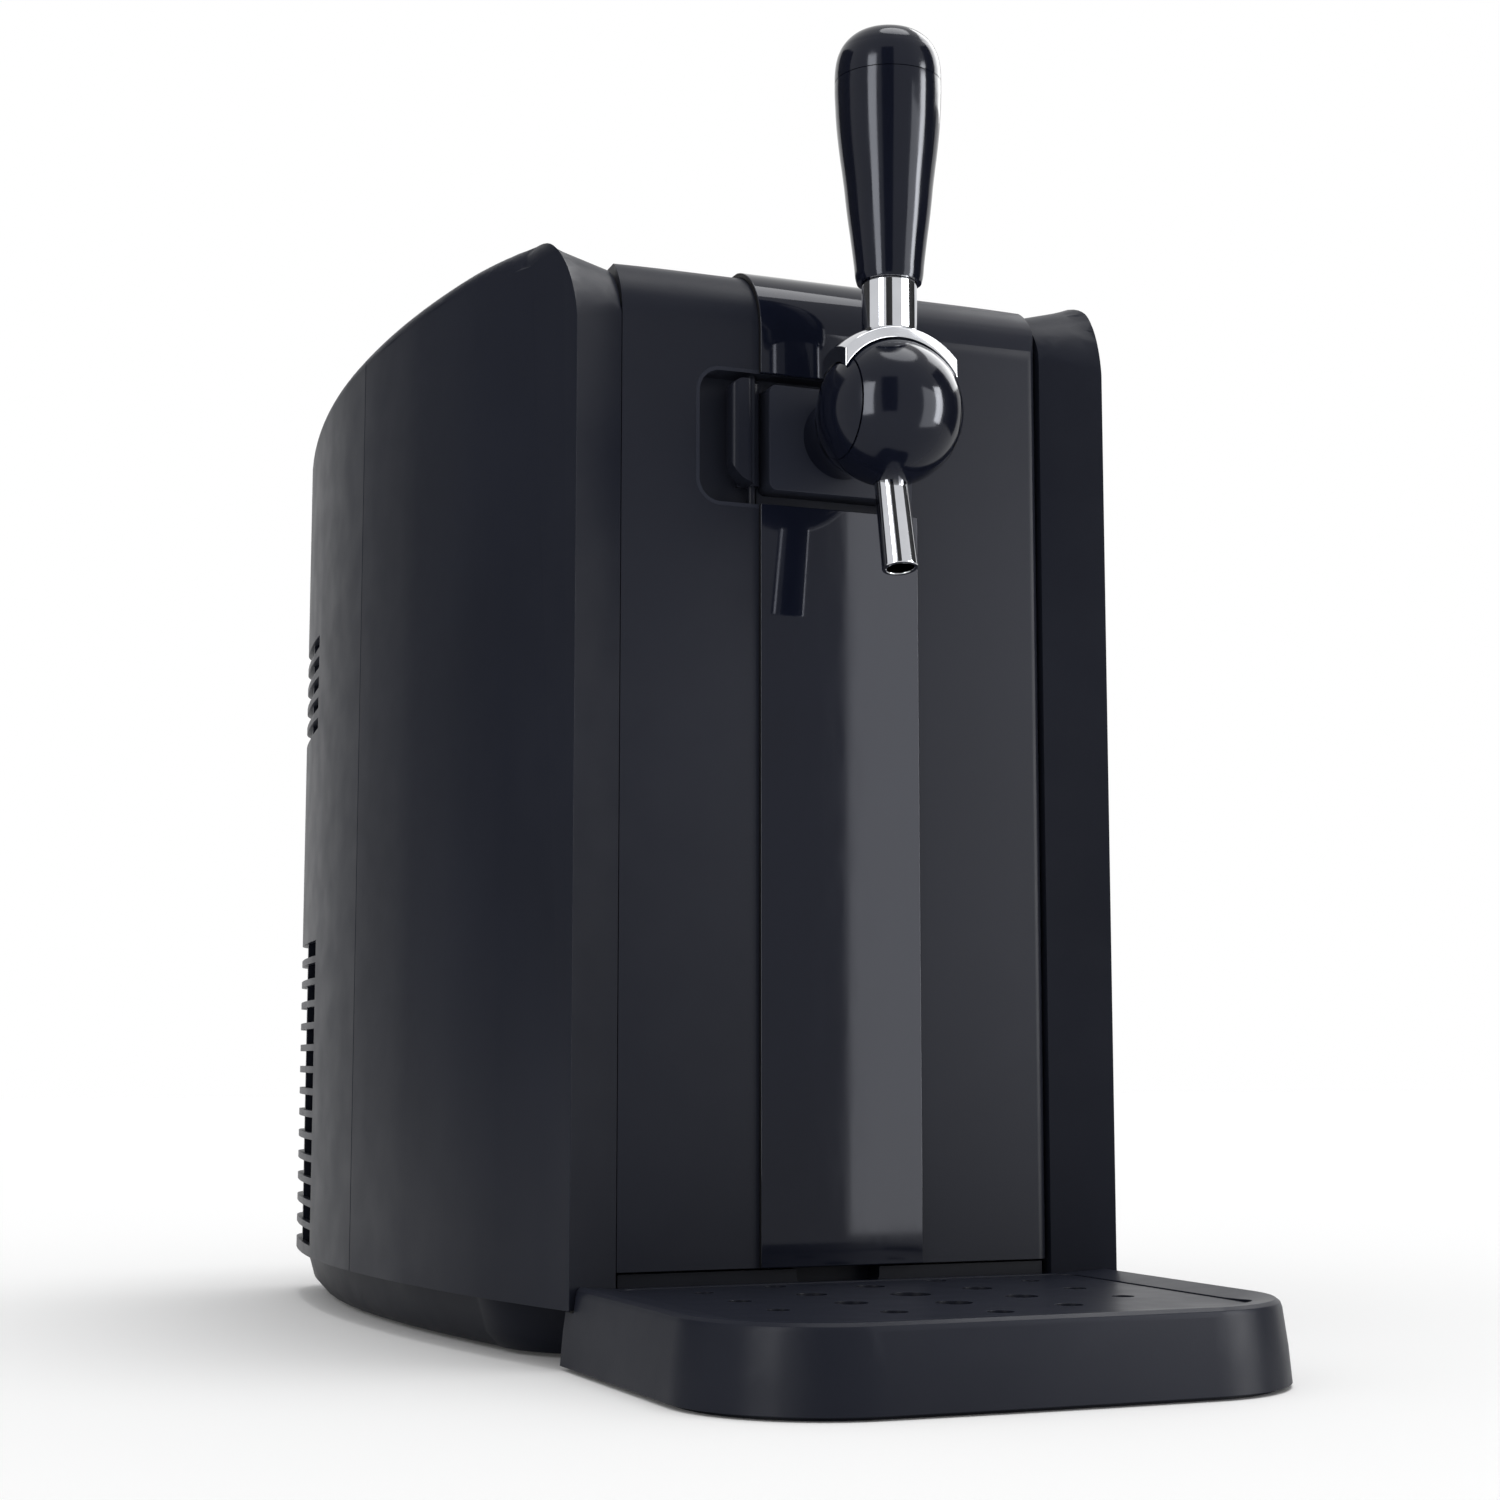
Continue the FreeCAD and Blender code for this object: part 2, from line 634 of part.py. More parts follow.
hub_radius = 18.0
blade_tip = fan_bore - 1.2
hub_front = fan_centre + Vec(0, 3.6, 0)
hub = cylinder(hub_radius, hub_front, Y_AXIS, 19).cut(cylinder(hub_radius - 2, hub_front, Y_AXIS, 16))
hub = hub.fuse(cylinder(5.0, hub_front, Y_AXIS, 18))
blades = []
blade_count = 7
blade_pitch = 38.0
for step in range(blade_count):
    blade = box(hub_radius - 1, blade_tip + 2, -1.0, 1.0, -12.5, 12.5)
    blade.rotate(Vec(0, 0, 0), X_AXIS, blade_pitch)
    blade.rotate(Vec(0, 0, 0), Y_AXIS, 360 * step / blade_count)
    blade.translate(hub_front + Vec(0, 9.5, 0))
    blades.append(blade)
tip_zone = cylinder(blade_tip, hub_front, Y_AXIS, 19)
rotor = fused([hub] + blades).common(tip_zone)
rotor = rotor.cut(cylinder(axle_radius + 0.05, hub_front - Vec(0, 2, 0), Y_AXIS, 40))
save("fan_impeller", rotor)

stand_height = 4.0
stand = cylinder(66, Vec(0, chamber_centre_y, chamber_floor), Z_AXIS, stand_height)
stand = stand.cut(cylinder(54, Vec(0, chamber_centre_y, chamber_floor), Z_AXIS, stand_height))
for turn in (0, 60, 120):
    bar = box(-55, 55, -2.5, 2.5, chamber_floor, chamber_floor + stand_height)
    bar.rotate(Vec(0, 0, 0), Z_AXIS, turn)
    bar.translate(Vec(0, chamber_centre_y, 0))
    stand = stand.fuse(bar)
save("keg_stand", stand.removeSplitter())

gas_profile = [(0, 0), (0, 7.0), (12, 7.0), (12, 12.0), (14, 12.0), (14, 8.0), (40.5, 8.0), (40.5, 0)]
gas_start = chamber_ceiling - 14.0
gas_connector = turned(gas_profile, Vec(gas_x, gas_y, gas_start), Z_AXIS)
gas_connector = gas_connector.cut(cylinder(2.5, Vec(gas_x, gas_y, gas_start - 1), Z_AXIS, 30))
nozzle_z = jacket_top + 3.9
nozzle_end = Vec(gas_x, gas_y + 18, nozzle_z)
gas_connector = gas_connector.fuse(cylinder(2.4, Vec(gas_x, gas_y, nozzle_z), Y_AXIS, 18))
save("gas_connector", gas_connector.removeSplitter())

# Chamber front frame: the flat face that the door seals against.
frame_low = 30.0
frame_high = 366.0
frame_half = 92.0
frame_plate = box(-frame_half, frame_half, frame_face_y, frame_rear_y, frame_low, frame_high)
chamber_frame = rounded(frame_plate, 4.0, Y_AXIS).cut(chamber_space)
save("chamber_frame", chamber_frame)

# Hinge arms on the chamber frame, and the steel plate that holds the latch magnet
arm_half = 2.4
knuckle_radius = 3.2
pin_radius = 1.6
arm_levels = [(34.5, 40.0), (350.0, 356.0)]
arm_reach_y = frame_face_y
arms = []
for low, high in arm_levels:
    height = high - low
    knuckle = cylinder(knuckle_radius, Vec(hinge_x, hinge_y, low), Z_AXIS, height)
    arm = slab_xy([(hinge_x - 1.8, hinge_y + 0.6), (hinge_x + arm_half - 0.2, hinge_y + 0.5),
                   (hinge_x - 1.0, arm_reach_y), (hinge_x - 9.0, arm_reach_y)], low, high)
    plate = box(hinge_x - 14, hinge_x + 5, arm_reach_y - 1.2, arm_reach_y, low - 2, high + 1.2)
    arm = knuckle.fuse(arm).fuse(plate)
    arms.append(arm.cut(cylinder(pin_radius + 0.05, Vec(hinge_x, hinge_y, low - 1), Z_AXIS, height + 2)))
save("hinge_arms", Part.makeCompound([arm.removeSplitter() for arm in arms]))

latch_z = 353.0
keeper_x = -70.0
keeper_depth = 1.2
keeper = rounded(box(keeper_x - 7, keeper_x + 7, frame_face_y - keeper_depth, frame_face_y,
                     latch_z - 6.5, latch_z + 6.5), 1.5, Y_AXIS)
save("latch_keeper", keeper)

# Door
door_side_wall = 2.2
flange_depth = 2.0
flange_front_y = liner_face_y - flange_depth
roll_centre_y = door_face_y + door_roll_radius
lip_bottom = 369.0


def door_plan(side, front, rear_y_limit, low, high):
    # Door outline seen from above; the hinge side corner is round about the hinge.
    left_rear = door_half_width - door_left_taper * (rear_y_limit - door_face_y) / (door_lip_y - door_face_y)
    radius = door_corner_radius - max(side, front)
    half = door_half_width - side
    face = door_face_y + front
    start = Vec(half - radius, face, low)
    middle = Vec(half - radius * 0.2929, face + radius * 0.2929, low)
    end = Vec(half, face + radius, low)
    left_front = Vec(-half, face, low)
    left_back = Vec(-left_rear + side, rear_y_limit, low)
    right_back = Vec(half, rear_y_limit, low)
    edges = [Part.makeLine(left_front, start), Part.Arc(start, middle, end).toShape(),
             Part.makeLine(end, right_back), Part.makeLine(right_back, left_back),
             Part.makeLine(left_back, left_front)]
    return Part.Face(Part.Wire(edges)).extrude(Vec(0, 0, high - low))


def door_profile(grow, bottom, rear, under):
    # Side view of the door skin: flat front that rolls back over the top edge.
    face = door_face_y - grow
    top = door_top + grow
    radius = door_roll_radius + grow
    turn = radius * (1 - math.sqrt(0.5))
    points = [Vec(-100, face, bottom), Vec(-100, face, door_roll_z), Vec(-100, face + turn, top - turn),
              Vec(-100, roll_centre_y, top), Vec(-100, rear, top), Vec(-100, rear, under),
              Vec(-100, liner_face_y, under), Vec(-100, liner_face_y, bottom)]
    edges = [Part.makeLine(points[0], points[1]), Part.Arc(points[1], points[2], points[3]).toShape()]
    for first, second in zip(points[3:], points[4:] + [points[0]]):
        edges.append(Part.makeLine(first, second))
    return Part.Face(Part.Wire(edges)).extrude(Vec(200, 0, 0))


def under_crown(raised):
    half = door_half_width + 2
    outline = crown_points(half, door_crown_drop, door_top + raised, 12)
    return slab_xz(outline + [(half, 0), (-half, 0)], crease_y - 60, crease_y + 60)


def hinge_clearance():
    cuts = []
    for low, high in arm_levels:
        z0 = low - 0.6
        tall = high - low + 1.2
        ring = cylinder(knuckle_radius + 0.5, Vec(hinge_x, hinge_y, z0), Z_AXIS, tall)
        sweep = Part.makeCylinder(17.0, tall, Vec(hinge_x, hinge_y, z0), Z_AXIS, 178)
        sweep.rotate(Vec(hinge_x, hinge_y, z0), Z_AXIS, -26)
        cuts.append(ring.fuse(sweep))
    return Part.makeCompound(cuts)


clearance = hinge_clearance()
outer_form = door_plan(0, 0, door_lip_y, door_bottom, door_top).common(
    door_profile(0, door_bottom, door_lip_y, lip_bottom)).common(under_crown(0))
cavity = door_plan(door_side_wall, door_skin, door_lip_y - 2.5, door_bottom + door_skin, door_top - door_skin)
cavity = cavity.common(door_profile(-door_skin, door_bottom + door_skin, door_lip_y + 1, lip_bottom - 1))
cavity = cavity.common(under_crown(-door_skin))

# The handle pocket and the channel behind the tap share one opening in the door.
pocket_left = -52.8
pocket_low = 294.0
pocket_high = 341.0
pocket_right = 28.0
pocket_split = -27.9
pocket_wall = 1.4
pocket_floor_y = crease_y + 23.0
channel_floor_y = crease_y + 20.0
pocket_radius = 8.0
pocket_cut = rounded(box(pocket_left, pocket_right, door_face_y - 10, pocket_floor_y,
                         pocket_low, pocket_high), pocket_radius, Y_AXIS)
pocket_space = pocket_cut.cut(box(pocket_split, 60, channel_floor_y, pocket_floor_y + 5, 0, 400))
pocket_outer = rounded(box(pocket_left - pocket_wall, pocket_right + pocket_wall, door_face_y,
                           pocket_floor_y + pocket_wall, pocket_low - pocket_wall, pocket_high + pocket_wall),
                       pocket_radius + pocket_wall, Y_AXIS)

panel = outer_form.cut(cavity)
for low, high in arm_levels:
    post = box(hinge_x - 4.5, door_half_width - 1.5, door_face_y + 1, flange_front_y,
               max(low - 5, door_bottom), high + 6)
    panel = panel.fuse(post.common(outer_form))
panel = panel.cut(clearance).cut(pocket_outer)
pins = []
for (low, high), tail in zip(arm_levels, (3.4, 4.5)):
    pins.append(cylinder(pin_radius, Vec(hinge_x, hinge_y, low - tail), Z_AXIS, high - low + tail + 5.5))
save("hinge_pins", Part.makeCompound(pins))
panel = panel.cut(Part.makeCompound(pins))
save("door_panel", panel.removeSplitter())

pocket = pocket_outer.cut(pocket_space)
pivot_x = -31.4
pivot_y = crease_y + 16.3
shaft_radius = 1.4
shaft_low = pocket_low - 1.0
shaft_high = latch_z + 3.0
shaft_hole = cylinder(shaft_radius + 0.05, Vec(pivot_x, pivot_y, shaft_low - 0.1), Z_AXIS, 60)
pocket = pocket.cut(shaft_hole)
save("handle_pocket", pocket.removeSplitter())

# Inner liner of the door: a flange, and a plug that fills the mouth of the chamber.
plug_half = 72.0
plug_rear_y = crease_y + 37.5
plug_low = chamber_floor + 3.5
plug_high = chamber_ceiling - 2.0
door_liner = cavity.common(box(-100, 100, flange_front_y, liner_face_y, 0, lip_bottom))
plug = rounded(box(-plug_half, plug_half, flange_front_y, plug_rear_y, plug_low, plug_high), 6.0, Y_AXIS)
plug_space = rounded(box(-plug_half + 2, plug_half - 2, flange_front_y - 1, plug_rear_y - 2, plug_low + 2,
                         plug_high - 2), 4.0, Y_AXIS)
door_liner = door_liner.fuse(plug).cut(plug_space).cut(clearance).cut(pocket_outer)
latch_travel = 2.4
latch_window = box(keeper_x - 6.5 - latch_travel - 1.2, keeper_x + 7.5, flange_front_y - 1, liner_face_y + 1,
                   latch_z - 6.0, latch_z + 6.0)
guide_pads = []
for guide_x in (-57.0, -43.0):
    pad = box(guide_x - 4, guide_x + 4, pivot_y + 1.8, flange_front_y + 0.5, latch_z - 4.5, latch_z + 4.5)
    groove = box(guide_x - 5, guide_x + 5, pivot_y, pivot_y + 5.9, latch_z - 2.3, latch_z + 2.3)
    guide_pads.append(pad.cut(groove))
door_liner = door_liner.cut(latch_window).fuse(guide_pads)
save("door_liner", door_liner.removeSplitter())

foam_top = pocket_low - pocket_wall
foam = cavity.common(box(-100, 100, crease_y, flange_front_y, arm_levels[0][1] + 7, foam_top))
foam = foam.fuse(plug_space.common(box(-100, 100, flange_front_y - 0.5, crease_y + 60, 0, foam_top)))
save("door_foam", foam.removeSplitter())

gasket_outer = 78.0
gasket_inner = 75.8
gasket_rear_y = frame_face_y - 0.15
gasket = rounded(box(-gasket_outer, gasket_outer, liner_face_y, gasket_rear_y, chamber_floor - 4.0,
                     chamber_ceiling + 4.2), 5.0, Y_AXIS)
gasket_hole = rounded(box(-gasket_inner, gasket_inner, liner_face_y - 1, gasket_rear_y + 1,
                          chamber_floor - 0.6, chamber_ceiling + 0.6), 3.0, Y_AXIS)
save("door_gasket", gasket.cut(gasket_hole))

# Glossy centre strip, proud of the door and rolled over its top edge.
strip = door_profile(strip_proud, door_bottom, door_lip_y, door_top - 4).cut(
    door_profile(0, door_bottom - 1, door_lip_y + 1, door_top - 5))
strip = strip.common(box(-strip_half_width, strip_half_width, crease_y - 5, door_lip_y, door_bottom, 400))
strip = strip.common(under_crown(strip_proud))
strip = strip.cut(outer_form)
strip = strip.cut(box(-strip_half_width - 1, strip_half_width + 1, crease_y - 5, crease_y + 20, pocket_low,
                      pocket_high))
save("centre_strip", strip.removeSplitter())

# Tap
carrier = rounded(box(-27.7, 25.0, crease_y + 8.5, channel_floor_y, 299.0, 337.0), 3.0, Y_AXIS)
beer_bore = cylinder(6.0, Vec(0, tap_y + 14, tap_z), Y_AXIS, 60)
carrier = carrier.cut(beer_bore)
save("tap_carrier", carrier)

tap_centre = Vec(0, tap_y, tap_z)
housing_profile = [(10.6, 0), (10.6, 25.4), (20.0, 24.6), (32.0, 21.0), (40.5, 19.5), (40.5, 0)]
housing = turned(housing_profile, tap_centre, Y_AXIS)
sphere = ball_form(ball_radius, tap_centre, 12)
seat_gap = 0.08
housing = housing.cut(ball_form(ball_radius + seat_gap, tap_centre, 12)).cut(beer_bore)
save("tap_housing", housing)

ball_bore = 16.0
bore_half = cap_x - 2.0
core = cylinder(ball_bore, tap_centre - Vec(bore_half, 0, 0), X_AXIS, 2 * bore_half)
ball = sphere.cut(core).common(box(-cap_x, cap_x, tap_y - 40, tap_y + 40, tap_z - 40, tap_z + 40))
lever_travel = 26.0
rod_lean = lever_travel / 2
rod_radius = 2.8
slot_half_low = 6.6
slot_half_high = 12.6
slot = slab_yz([(tap_y - slot_half_low, tap_z + 12), (tap_y + slot_half_low, tap_z + 12),
                (tap_y + slot_half_high, tap_z + 40), (tap_y - slot_half_high, tap_z + 40)], -3.4, 3.4)
pivot_radius = 2.5
pivot_hole = cylinder(pivot_radius, Vec(-cap_x - 4.0, tap_y, tap_z), X_AXIS, 2 * cap_x + 8.0)
ball = ball.cut(slot).cut(pivot_hole)
spout_down = Vec(0, -math.sin(math.radians(spout_tilt)), -math.cos(math.radians(spout_tilt)))
spout_root = Vec(0, tap_y - 0.9, 293.1)
spout_length = 29.7
spout_tuck = 4.5
spout_bore = 4.7
spout = turned([(-spout_tuck, spout_bore), (-spout_tuck, 5.7), (0, 5.75), (spout_length, 6.2),
                (spout_length, spout_bore)], spout_root, spout_down)
ball = ball.cut(cylinder(5.75, spout_root - spout_down * 12, spout_down, 24))
ball = ball.cut(cylinder(6.5, tap_centre, Y_AXIS, 40))
save("tap_ball", ball.removeSplitter())
save("spout", spout)

cap = sphere.common(box(cap_x, 40, tap_y - 40, tap_y + 40, tap_z - 40, tap_z + 40)).cut(pivot_hole)
save("ball_caps", Part.makeCompound([cap, mirrored(cap)]))
pivot_half = cap_x + 4.0
save("tap_pivot_pin", cylinder(pivot_radius, Vec(-pivot_half, tap_y, tap_z), X_AXIS, 2 * pivot_half))

# Lever: hub on the pivot, rod up through the slot, saddle over the ball, stem and grip.
saddle_gap = 0.45
saddle_outer = 29.3
saddle_depth = 10.0
saddle_half = 21.0
saddle_tip = 11.5
saddle_ball = Part.makeSphere(saddle_outer, tap_centre)
saddle_ball.rotate(tap_centre, Y_AXIS, 90)
saddle_core = Part.makeSphere(ball_radius + saddle_gap, tap_centre)
saddle_core.rotate(tap_centre, Y_AXIS, 90)
saddle = saddle_ball.cut(saddle_core)
saddle = saddle.common(box(-saddle_half, saddle_half, tap_y - saddle_depth, tap_y + saddle_depth,
                           tap_z + saddle_tip, tap_z + 40))
stem_radius = 9.5
stem_top = 365.0
stem_low = tap_z + saddle_outer - 1.2
stem = cylinder(stem_radius, Vec(0, tap_y, stem_low), Z_AXIS, stem_top - stem_low).cut(saddle_core)
spigot_top = cap_seam - 34.3
spigot = cylinder(5.0, Vec(0, tap_y, stem_top - 1), Z_AXIS, spigot_top - stem_top + 1)
hub_half = 6.0
lever_hub = cylinder(6.0, Vec(-hub_half, tap_y, tap_z), X_AXIS, 2 * hub_half)
rod_up = Vec(0, math.sin(math.radians(rod_lean)), math.cos(math.radians(rod_lean)))
rod = cylinder(rod_radius, tap_centre + rod_up * 3, rod_up, saddle_outer - 4.0)
lever = fused([saddle, stem, spigot, lever_hub, rod])
lever = lever.cut(cylinder(pivot_radius + 0.05, Vec(-20, tap_y, tap_z), X_AXIS, 40))
save("tap_saddle", lever)

grip_bottom = 364.8
grip_length = cap_seam - grip_bottom
grip_profile = [(0, 0), (0, 11.0), (1.2, 11.6), (6.0, 12.05), (grip_length - 22.3, 18.0),
                (grip_length - 10.8, 18.5), (grip_length, 18.3), (grip_length, 0)]
grip_base = Vec(0, tap_y, grip_bottom)
grip = turned(grip_profile, grip_base, Z_AXIS)
grip = grip.cut(cylinder(stem_radius, grip_base - Vec(0, 0, 1), Z_AXIS, 1 + stem_top - grip_bottom))
grip = grip.cut(spigot)
save("handle_grip", grip)
cap_profile = [(0, 0), (0, 18.15), (4.8, 15.8), (7.6, 13.0), (10.4, 7.5), (handle_top - cap_seam, 0)]
save("grip_cap", turned(cap_profile, Vec(0, tap_y, cap_seam), Z_AXIS))

# Door handle and latch
fin_left = -42.0
fin_right = -34.0
fin_low = 301.0
fin_high = 338.0
fin = box(fin_left, fin_right, crease_y + 7.5, crease_y + 15.0, fin_low, fin_high)
fin = rounded(fin, 2.2, Z_AXIS)
leg = box(-36.4, -33.2, crease_y + 9.0, crease_y + 19.6, fin_low, fin_high)
boss_radius = 2.8
boss = cylinder(boss_radius, Vec(pivot_x, pivot_y, fin_low), Z_AXIS, fin_high - fin_low)
web = box(-36.0, pivot_x, pivot_y - 1.2, pivot_y + 2.0, fin_low, fin_high)
shaft = cylinder(shaft_radius, Vec(pivot_x, pivot_y, shaft_low), Z_AXIS, shaft_high - shaft_low)
crank_half = 1.3
crank_reach = 4.6
crank = box(pivot_x - crank_half, pivot_x + crank_half, pivot_y, pivot_y + crank_reach,
            latch_z - 1.8, latch_z + 1.8)
save("door_handle", fused([fin, leg, boss, web, shaft, crank]))

slide_front_y = pivot_y + 1.9
slide_rear_y = pivot_y + 5.6
slide = box(keeper_x - 5.0, pivot_x + 4.8, slide_front_y, slide_rear_y, latch_z - 2.0, latch_z + 2.0)
notch = box(pivot_x - crank_half - 0.45, pivot_x + crank_half + 1.9, slide_front_y - 1,
            pivot_y + crank_reach + 0.3, latch_z - 3, latch_z + 3)
save("latch_slide", slide.cut(notch))
magnet = box(keeper_x - 5.0, keeper_x + 5.0, slide_rear_y, frame_face_y - keeper_depth - 0.4, latch_z - 4.5,
             latch_z + 4.5)
save("latch_magnet", magnet)

# Drip tray


def tray_wire(inset, rear, height):
    # Tray outline: straight sides, big front corners and a slightly bowed front.
    radius = tray_corner_radius - inset
    front = tray_front_y + inset
    half = tray_half_width - inset
    centre = Vec(half - radius, front + tray_bow + radius, 0)
    side = Vec(half, centre.y, height)
    diagonal = Vec(centre.x + radius * math.sqrt(0.5), centre.y - radius * math.sqrt(0.5), height)
    bow = Vec(centre.x, front + tray_bow, height)
    nose = Vec(0, front, height)
    edges = [Part.makeLine(Vec(half, rear, height), side), Part.Arc(side, diagonal, bow).toShape(),
             Part.Arc(bow, nose, Vec(-bow.x, bow.y, height)).toShape(),
             Part.Arc(Vec(-bow.x, bow.y, height), Vec(-diagonal.x, diagonal.y, height),
                      Vec(-side.x, side.y, height)).toShape(),
             Part.makeLine(Vec(-side.x, side.y, height), Vec(-half, rear, height)),
             Part.makeLine(Vec(-half, rear, height), Vec(half, rear, height))]
    return Part.Wire(edges)


def tray_block(inset, rear, low, high):
    return Part.Face(tray_wire(inset, rear, low)).extrude(Vec(0, 0, high - low))


def cover_block(margin, low, high):
    half = cover_half + margin
    block = box(-half, half, cover_front_y - margin, cover_rear_y + margin, low, high)
    return rounded(block, cover_corner_radius + margin, Z_AXIS)


tray_wall = 3.0
tray_back_wall = 2.5
tray_floor = 2.0
base_inset = 3.6
base_wall = 2.4
rim_lean = 4.6
ledge_width = 2.5
cover_thickness = 2.4
cover_gap = 0.35
cover_corner_radius = 8.0
cover_rear_y = tray_rear_y - tray_back_wall - cover_gap
tray_lean = 2.6
tray_sections = [(0, tray_bottom), (1.0, 12.4), (tray_lean, tray_height - 2.7),
                 (tray_lean + 0.6, tray_height - 1.1), (rim_lean, tray_height)]
tray_wires = [tray_wire(inset, tray_rear_y, height) for inset, height in tray_sections]
tray = Part.makeLoft(tray_wires, True, True)
# The rim falls inward to the cover.
rim_low = cover_top + 0.3
rim_inner = tray_half_width - cover_half
rim_rear_y = tray_rear_y + 20
rim_wires = [tray_wire(rim_inner, rim_rear_y, rim_low), tray_wire(rim_lean, rim_rear_y, tray_height)]
tray = tray.cut(Part.makeLoft(rim_wires, True, True))
ledge_z = cover_top - cover_thickness
tray = tray.cut(cover_block(cover_gap, ledge_z, tray_height + 1))
tray = tray.cut(cover_block(-ledge_width, tray_bottom + tray_floor, tray_height + 1))
under_inset = tray_wall + tray_lean
under = tray_block(under_inset, tray_rear_y - tray_back_wall, -1.0, ledge_z - tray_wall)
under = under.cut(cover_block(-ledge_width + tray_floor, -2.0, tray_height))
tray = tray.cut(under)
# The tray stands on a rim set back under its wall.
base = tray_block(base_inset, tray_rear_y, 0, tray_bottom + 0.5)
base = base.cut(tray_block(base_inset + base_wall, tray_rear_y - tray_back_wall, -1.0, tray_bottom + 1.0))
tray = tray.fuse(base)
# The rear corners are cut back to clear the sloping front of the side shells.
relief = 0.7
relief_near = return_half_width - relief
relief_far = crease_half_width + 20
relief_points = [(relief_near, door_face_y + 8), (relief_near, door_face_y - 0.4),
                 (crease_half_width - relief, crease_y - relief), (relief_far, crease_y - relief),
                 (relief_far, door_face_y + 8)]
corner_cut = slab_xy(relief_points, hull_bottom - 0.6, tray_height + 2)
tray = tray.cut(corner_cut).cut(mirrored(corner_cut))
rail = box(rail_x - rail_half_width, rail_x + rail_half_width, tray_rear_y - 1, tray_rear_y + rail_reach,
           rail_bottom, rail_top)
rail_end = tray_rear_y + rail_reach
rail = rail.makeFillet(1.5, [edge for edge in rail.Edges if edge.CenterOfMass.y > rail_end - 0.5])
tray = tray.fuse(rail).fuse(mirrored(rail))
save("drip_tray", tray.removeSplitter())

cover = cover_block(0, ledge_z, cover_top)
hole_pitch_x = 30.0
hole_pitch_y = 31.0
hole_middle_y = crease_y - 52.0
hole_margin = 4.0
column_start = [(-2, -13.0), (-1, -0.5), (0, -12.0), (1, -0.5), (2, -13.0)]
holes = []
for column, start in column_start:
    for row in range(4 if abs(column) < 2 else 3):
        hole_x = column * hole_pitch_x
        hole_y = crease_y + start - hole_pitch_y * row
        away = math.hypot(hole_x, hole_y - hole_middle_y)
        hole_radius = 7.2 - 0.055 * away
        if hole_y - hole_radius > cover_front_y + hole_margin:
            holes.append(cylinder(hole_radius, Vec(hole_x, hole_y, ledge_z - 1), Z_AXIS, cover_thickness + 2))
cover = cover.cut(Part.makeCompound(holes))
save("tray_cover", cover)

# Mains inlet and switch in the block of the rear cover
socket_depth = 18.0
socket_face_y = rear_y - 1.2
clear = 0.15
socket = box(inlet_x - inlet_half_width + clear, inlet_x + inlet_half_width - clear,
             socket_face_y - socket_depth, socket_face_y,
             inlet_z - inlet_half_height + clear, inlet_z + inlet_half_height - clear)
socket_space = box(inlet_x - 12.0, inlet_x + 12.0, socket_face_y - socket_depth + 2, socket_face_y + 1,
                   inlet_z - 8.2, inlet_z + 8.2)
socket = socket.cut(socket_space)
for pin_x, pin_z in ((-7.0, -2.6), (0.0, 1.4), (7.0, -2.6)):
    socket = socket.fuse(box(inlet_x + pin_x - 1, inlet_x + pin_x + 1, socket_face_y - socket_depth + 1,
                             socket_face_y - 2.5, inlet_z + pin_z - 2, inlet_z + pin_z + 2))
flange_back = box(inlet_x - inlet_half_width - 2, inlet_x + inlet_half_width + 2, rear_y - 17.4, rear_y - 16,
                  inlet_z - inlet_half_height - 2, inlet_z + inlet_half_height + 2)
flange_back = flange_back.cut(socket_space)
save("mains_inlet", socket.fuse(flange_back).removeSplitter())

bezel = box(switch_x - switch_half_width, switch_x + switch_half_width, rear_y - 13.0, rear_y - 1.2,
            inlet_z - switch_half_height, inlet_z + switch_half_height)
bezel = bezel.cut(box(switch_x - 5.6, switch_x + 5.6, rear_y - 12.0, rear_y, inlet_z - 8.6, inlet_z + 8.6))
rocker_y = rear_y - 4.2
rocker_pin = cylinder(1.2, Vec(switch_x - 6.5, rocker_y, inlet_z), X_AXIS, 13)
bezel = bezel.fuse(rocker_pin)
save("switch_bezel", bezel.removeSplitter())

rocker_tilt = 7.0
rocker = slab_yz([(rocker_y - 2.6, inlet_z - 4), (rocker_y + 1.6, inlet_z - 8.0),
                  (rocker_y + 2.9, inlet_z - 7.6), (rocker_y + 2.2, inlet_z),
                  (rocker_y + 2.9, inlet_z + 7.6), (rocker_y + 1.6, inlet_z + 8.0),
                  (rocker_y - 2.6, inlet_z + 4)], switch_x - 5.25, switch_x + 5.25)
rocker = rocker.cut(cylinder(1.25, Vec(switch_x - 10, rocker_y, inlet_z), X_AXIS, 20))
rocker.rotate(Vec(switch_x, rocker_y, inlet_z), X_AXIS, rocker_tilt)
save("rocker_switch", rocker)

# Power supply on the deck, left of the middle, and the air pump on the right.
deck = hull_bottom
supply_y = crease_y + 222.0
supply = [box(-102, -28, supply_y, supply_y + 92, deck, deck + 1.5),
          box(-102, -100.5, supply_y, supply_y + 92, deck, deck + 34),
          box(-97, -33, supply_y + 5, supply_y + 87, deck + 6, deck + 7.6)]
for x in (-93, -37):
    for y in (supply_y + 9, supply_y + 83):
        supply.append(box(x - 3, x + 3, y - 3, y + 3, deck + 1, deck + 6.5))
supply.append(box(-82, -56, supply_y + 28, supply_y + 56, deck + 7, deck + 31))
for x, y in ((-46, 22), (-46, 42), (-84, 72)):
    supply.append(cylinder(7.0, Vec(x, supply_y + y, deck + 7), Z_AXIS, 20))
save("power_supply", fused(supply))

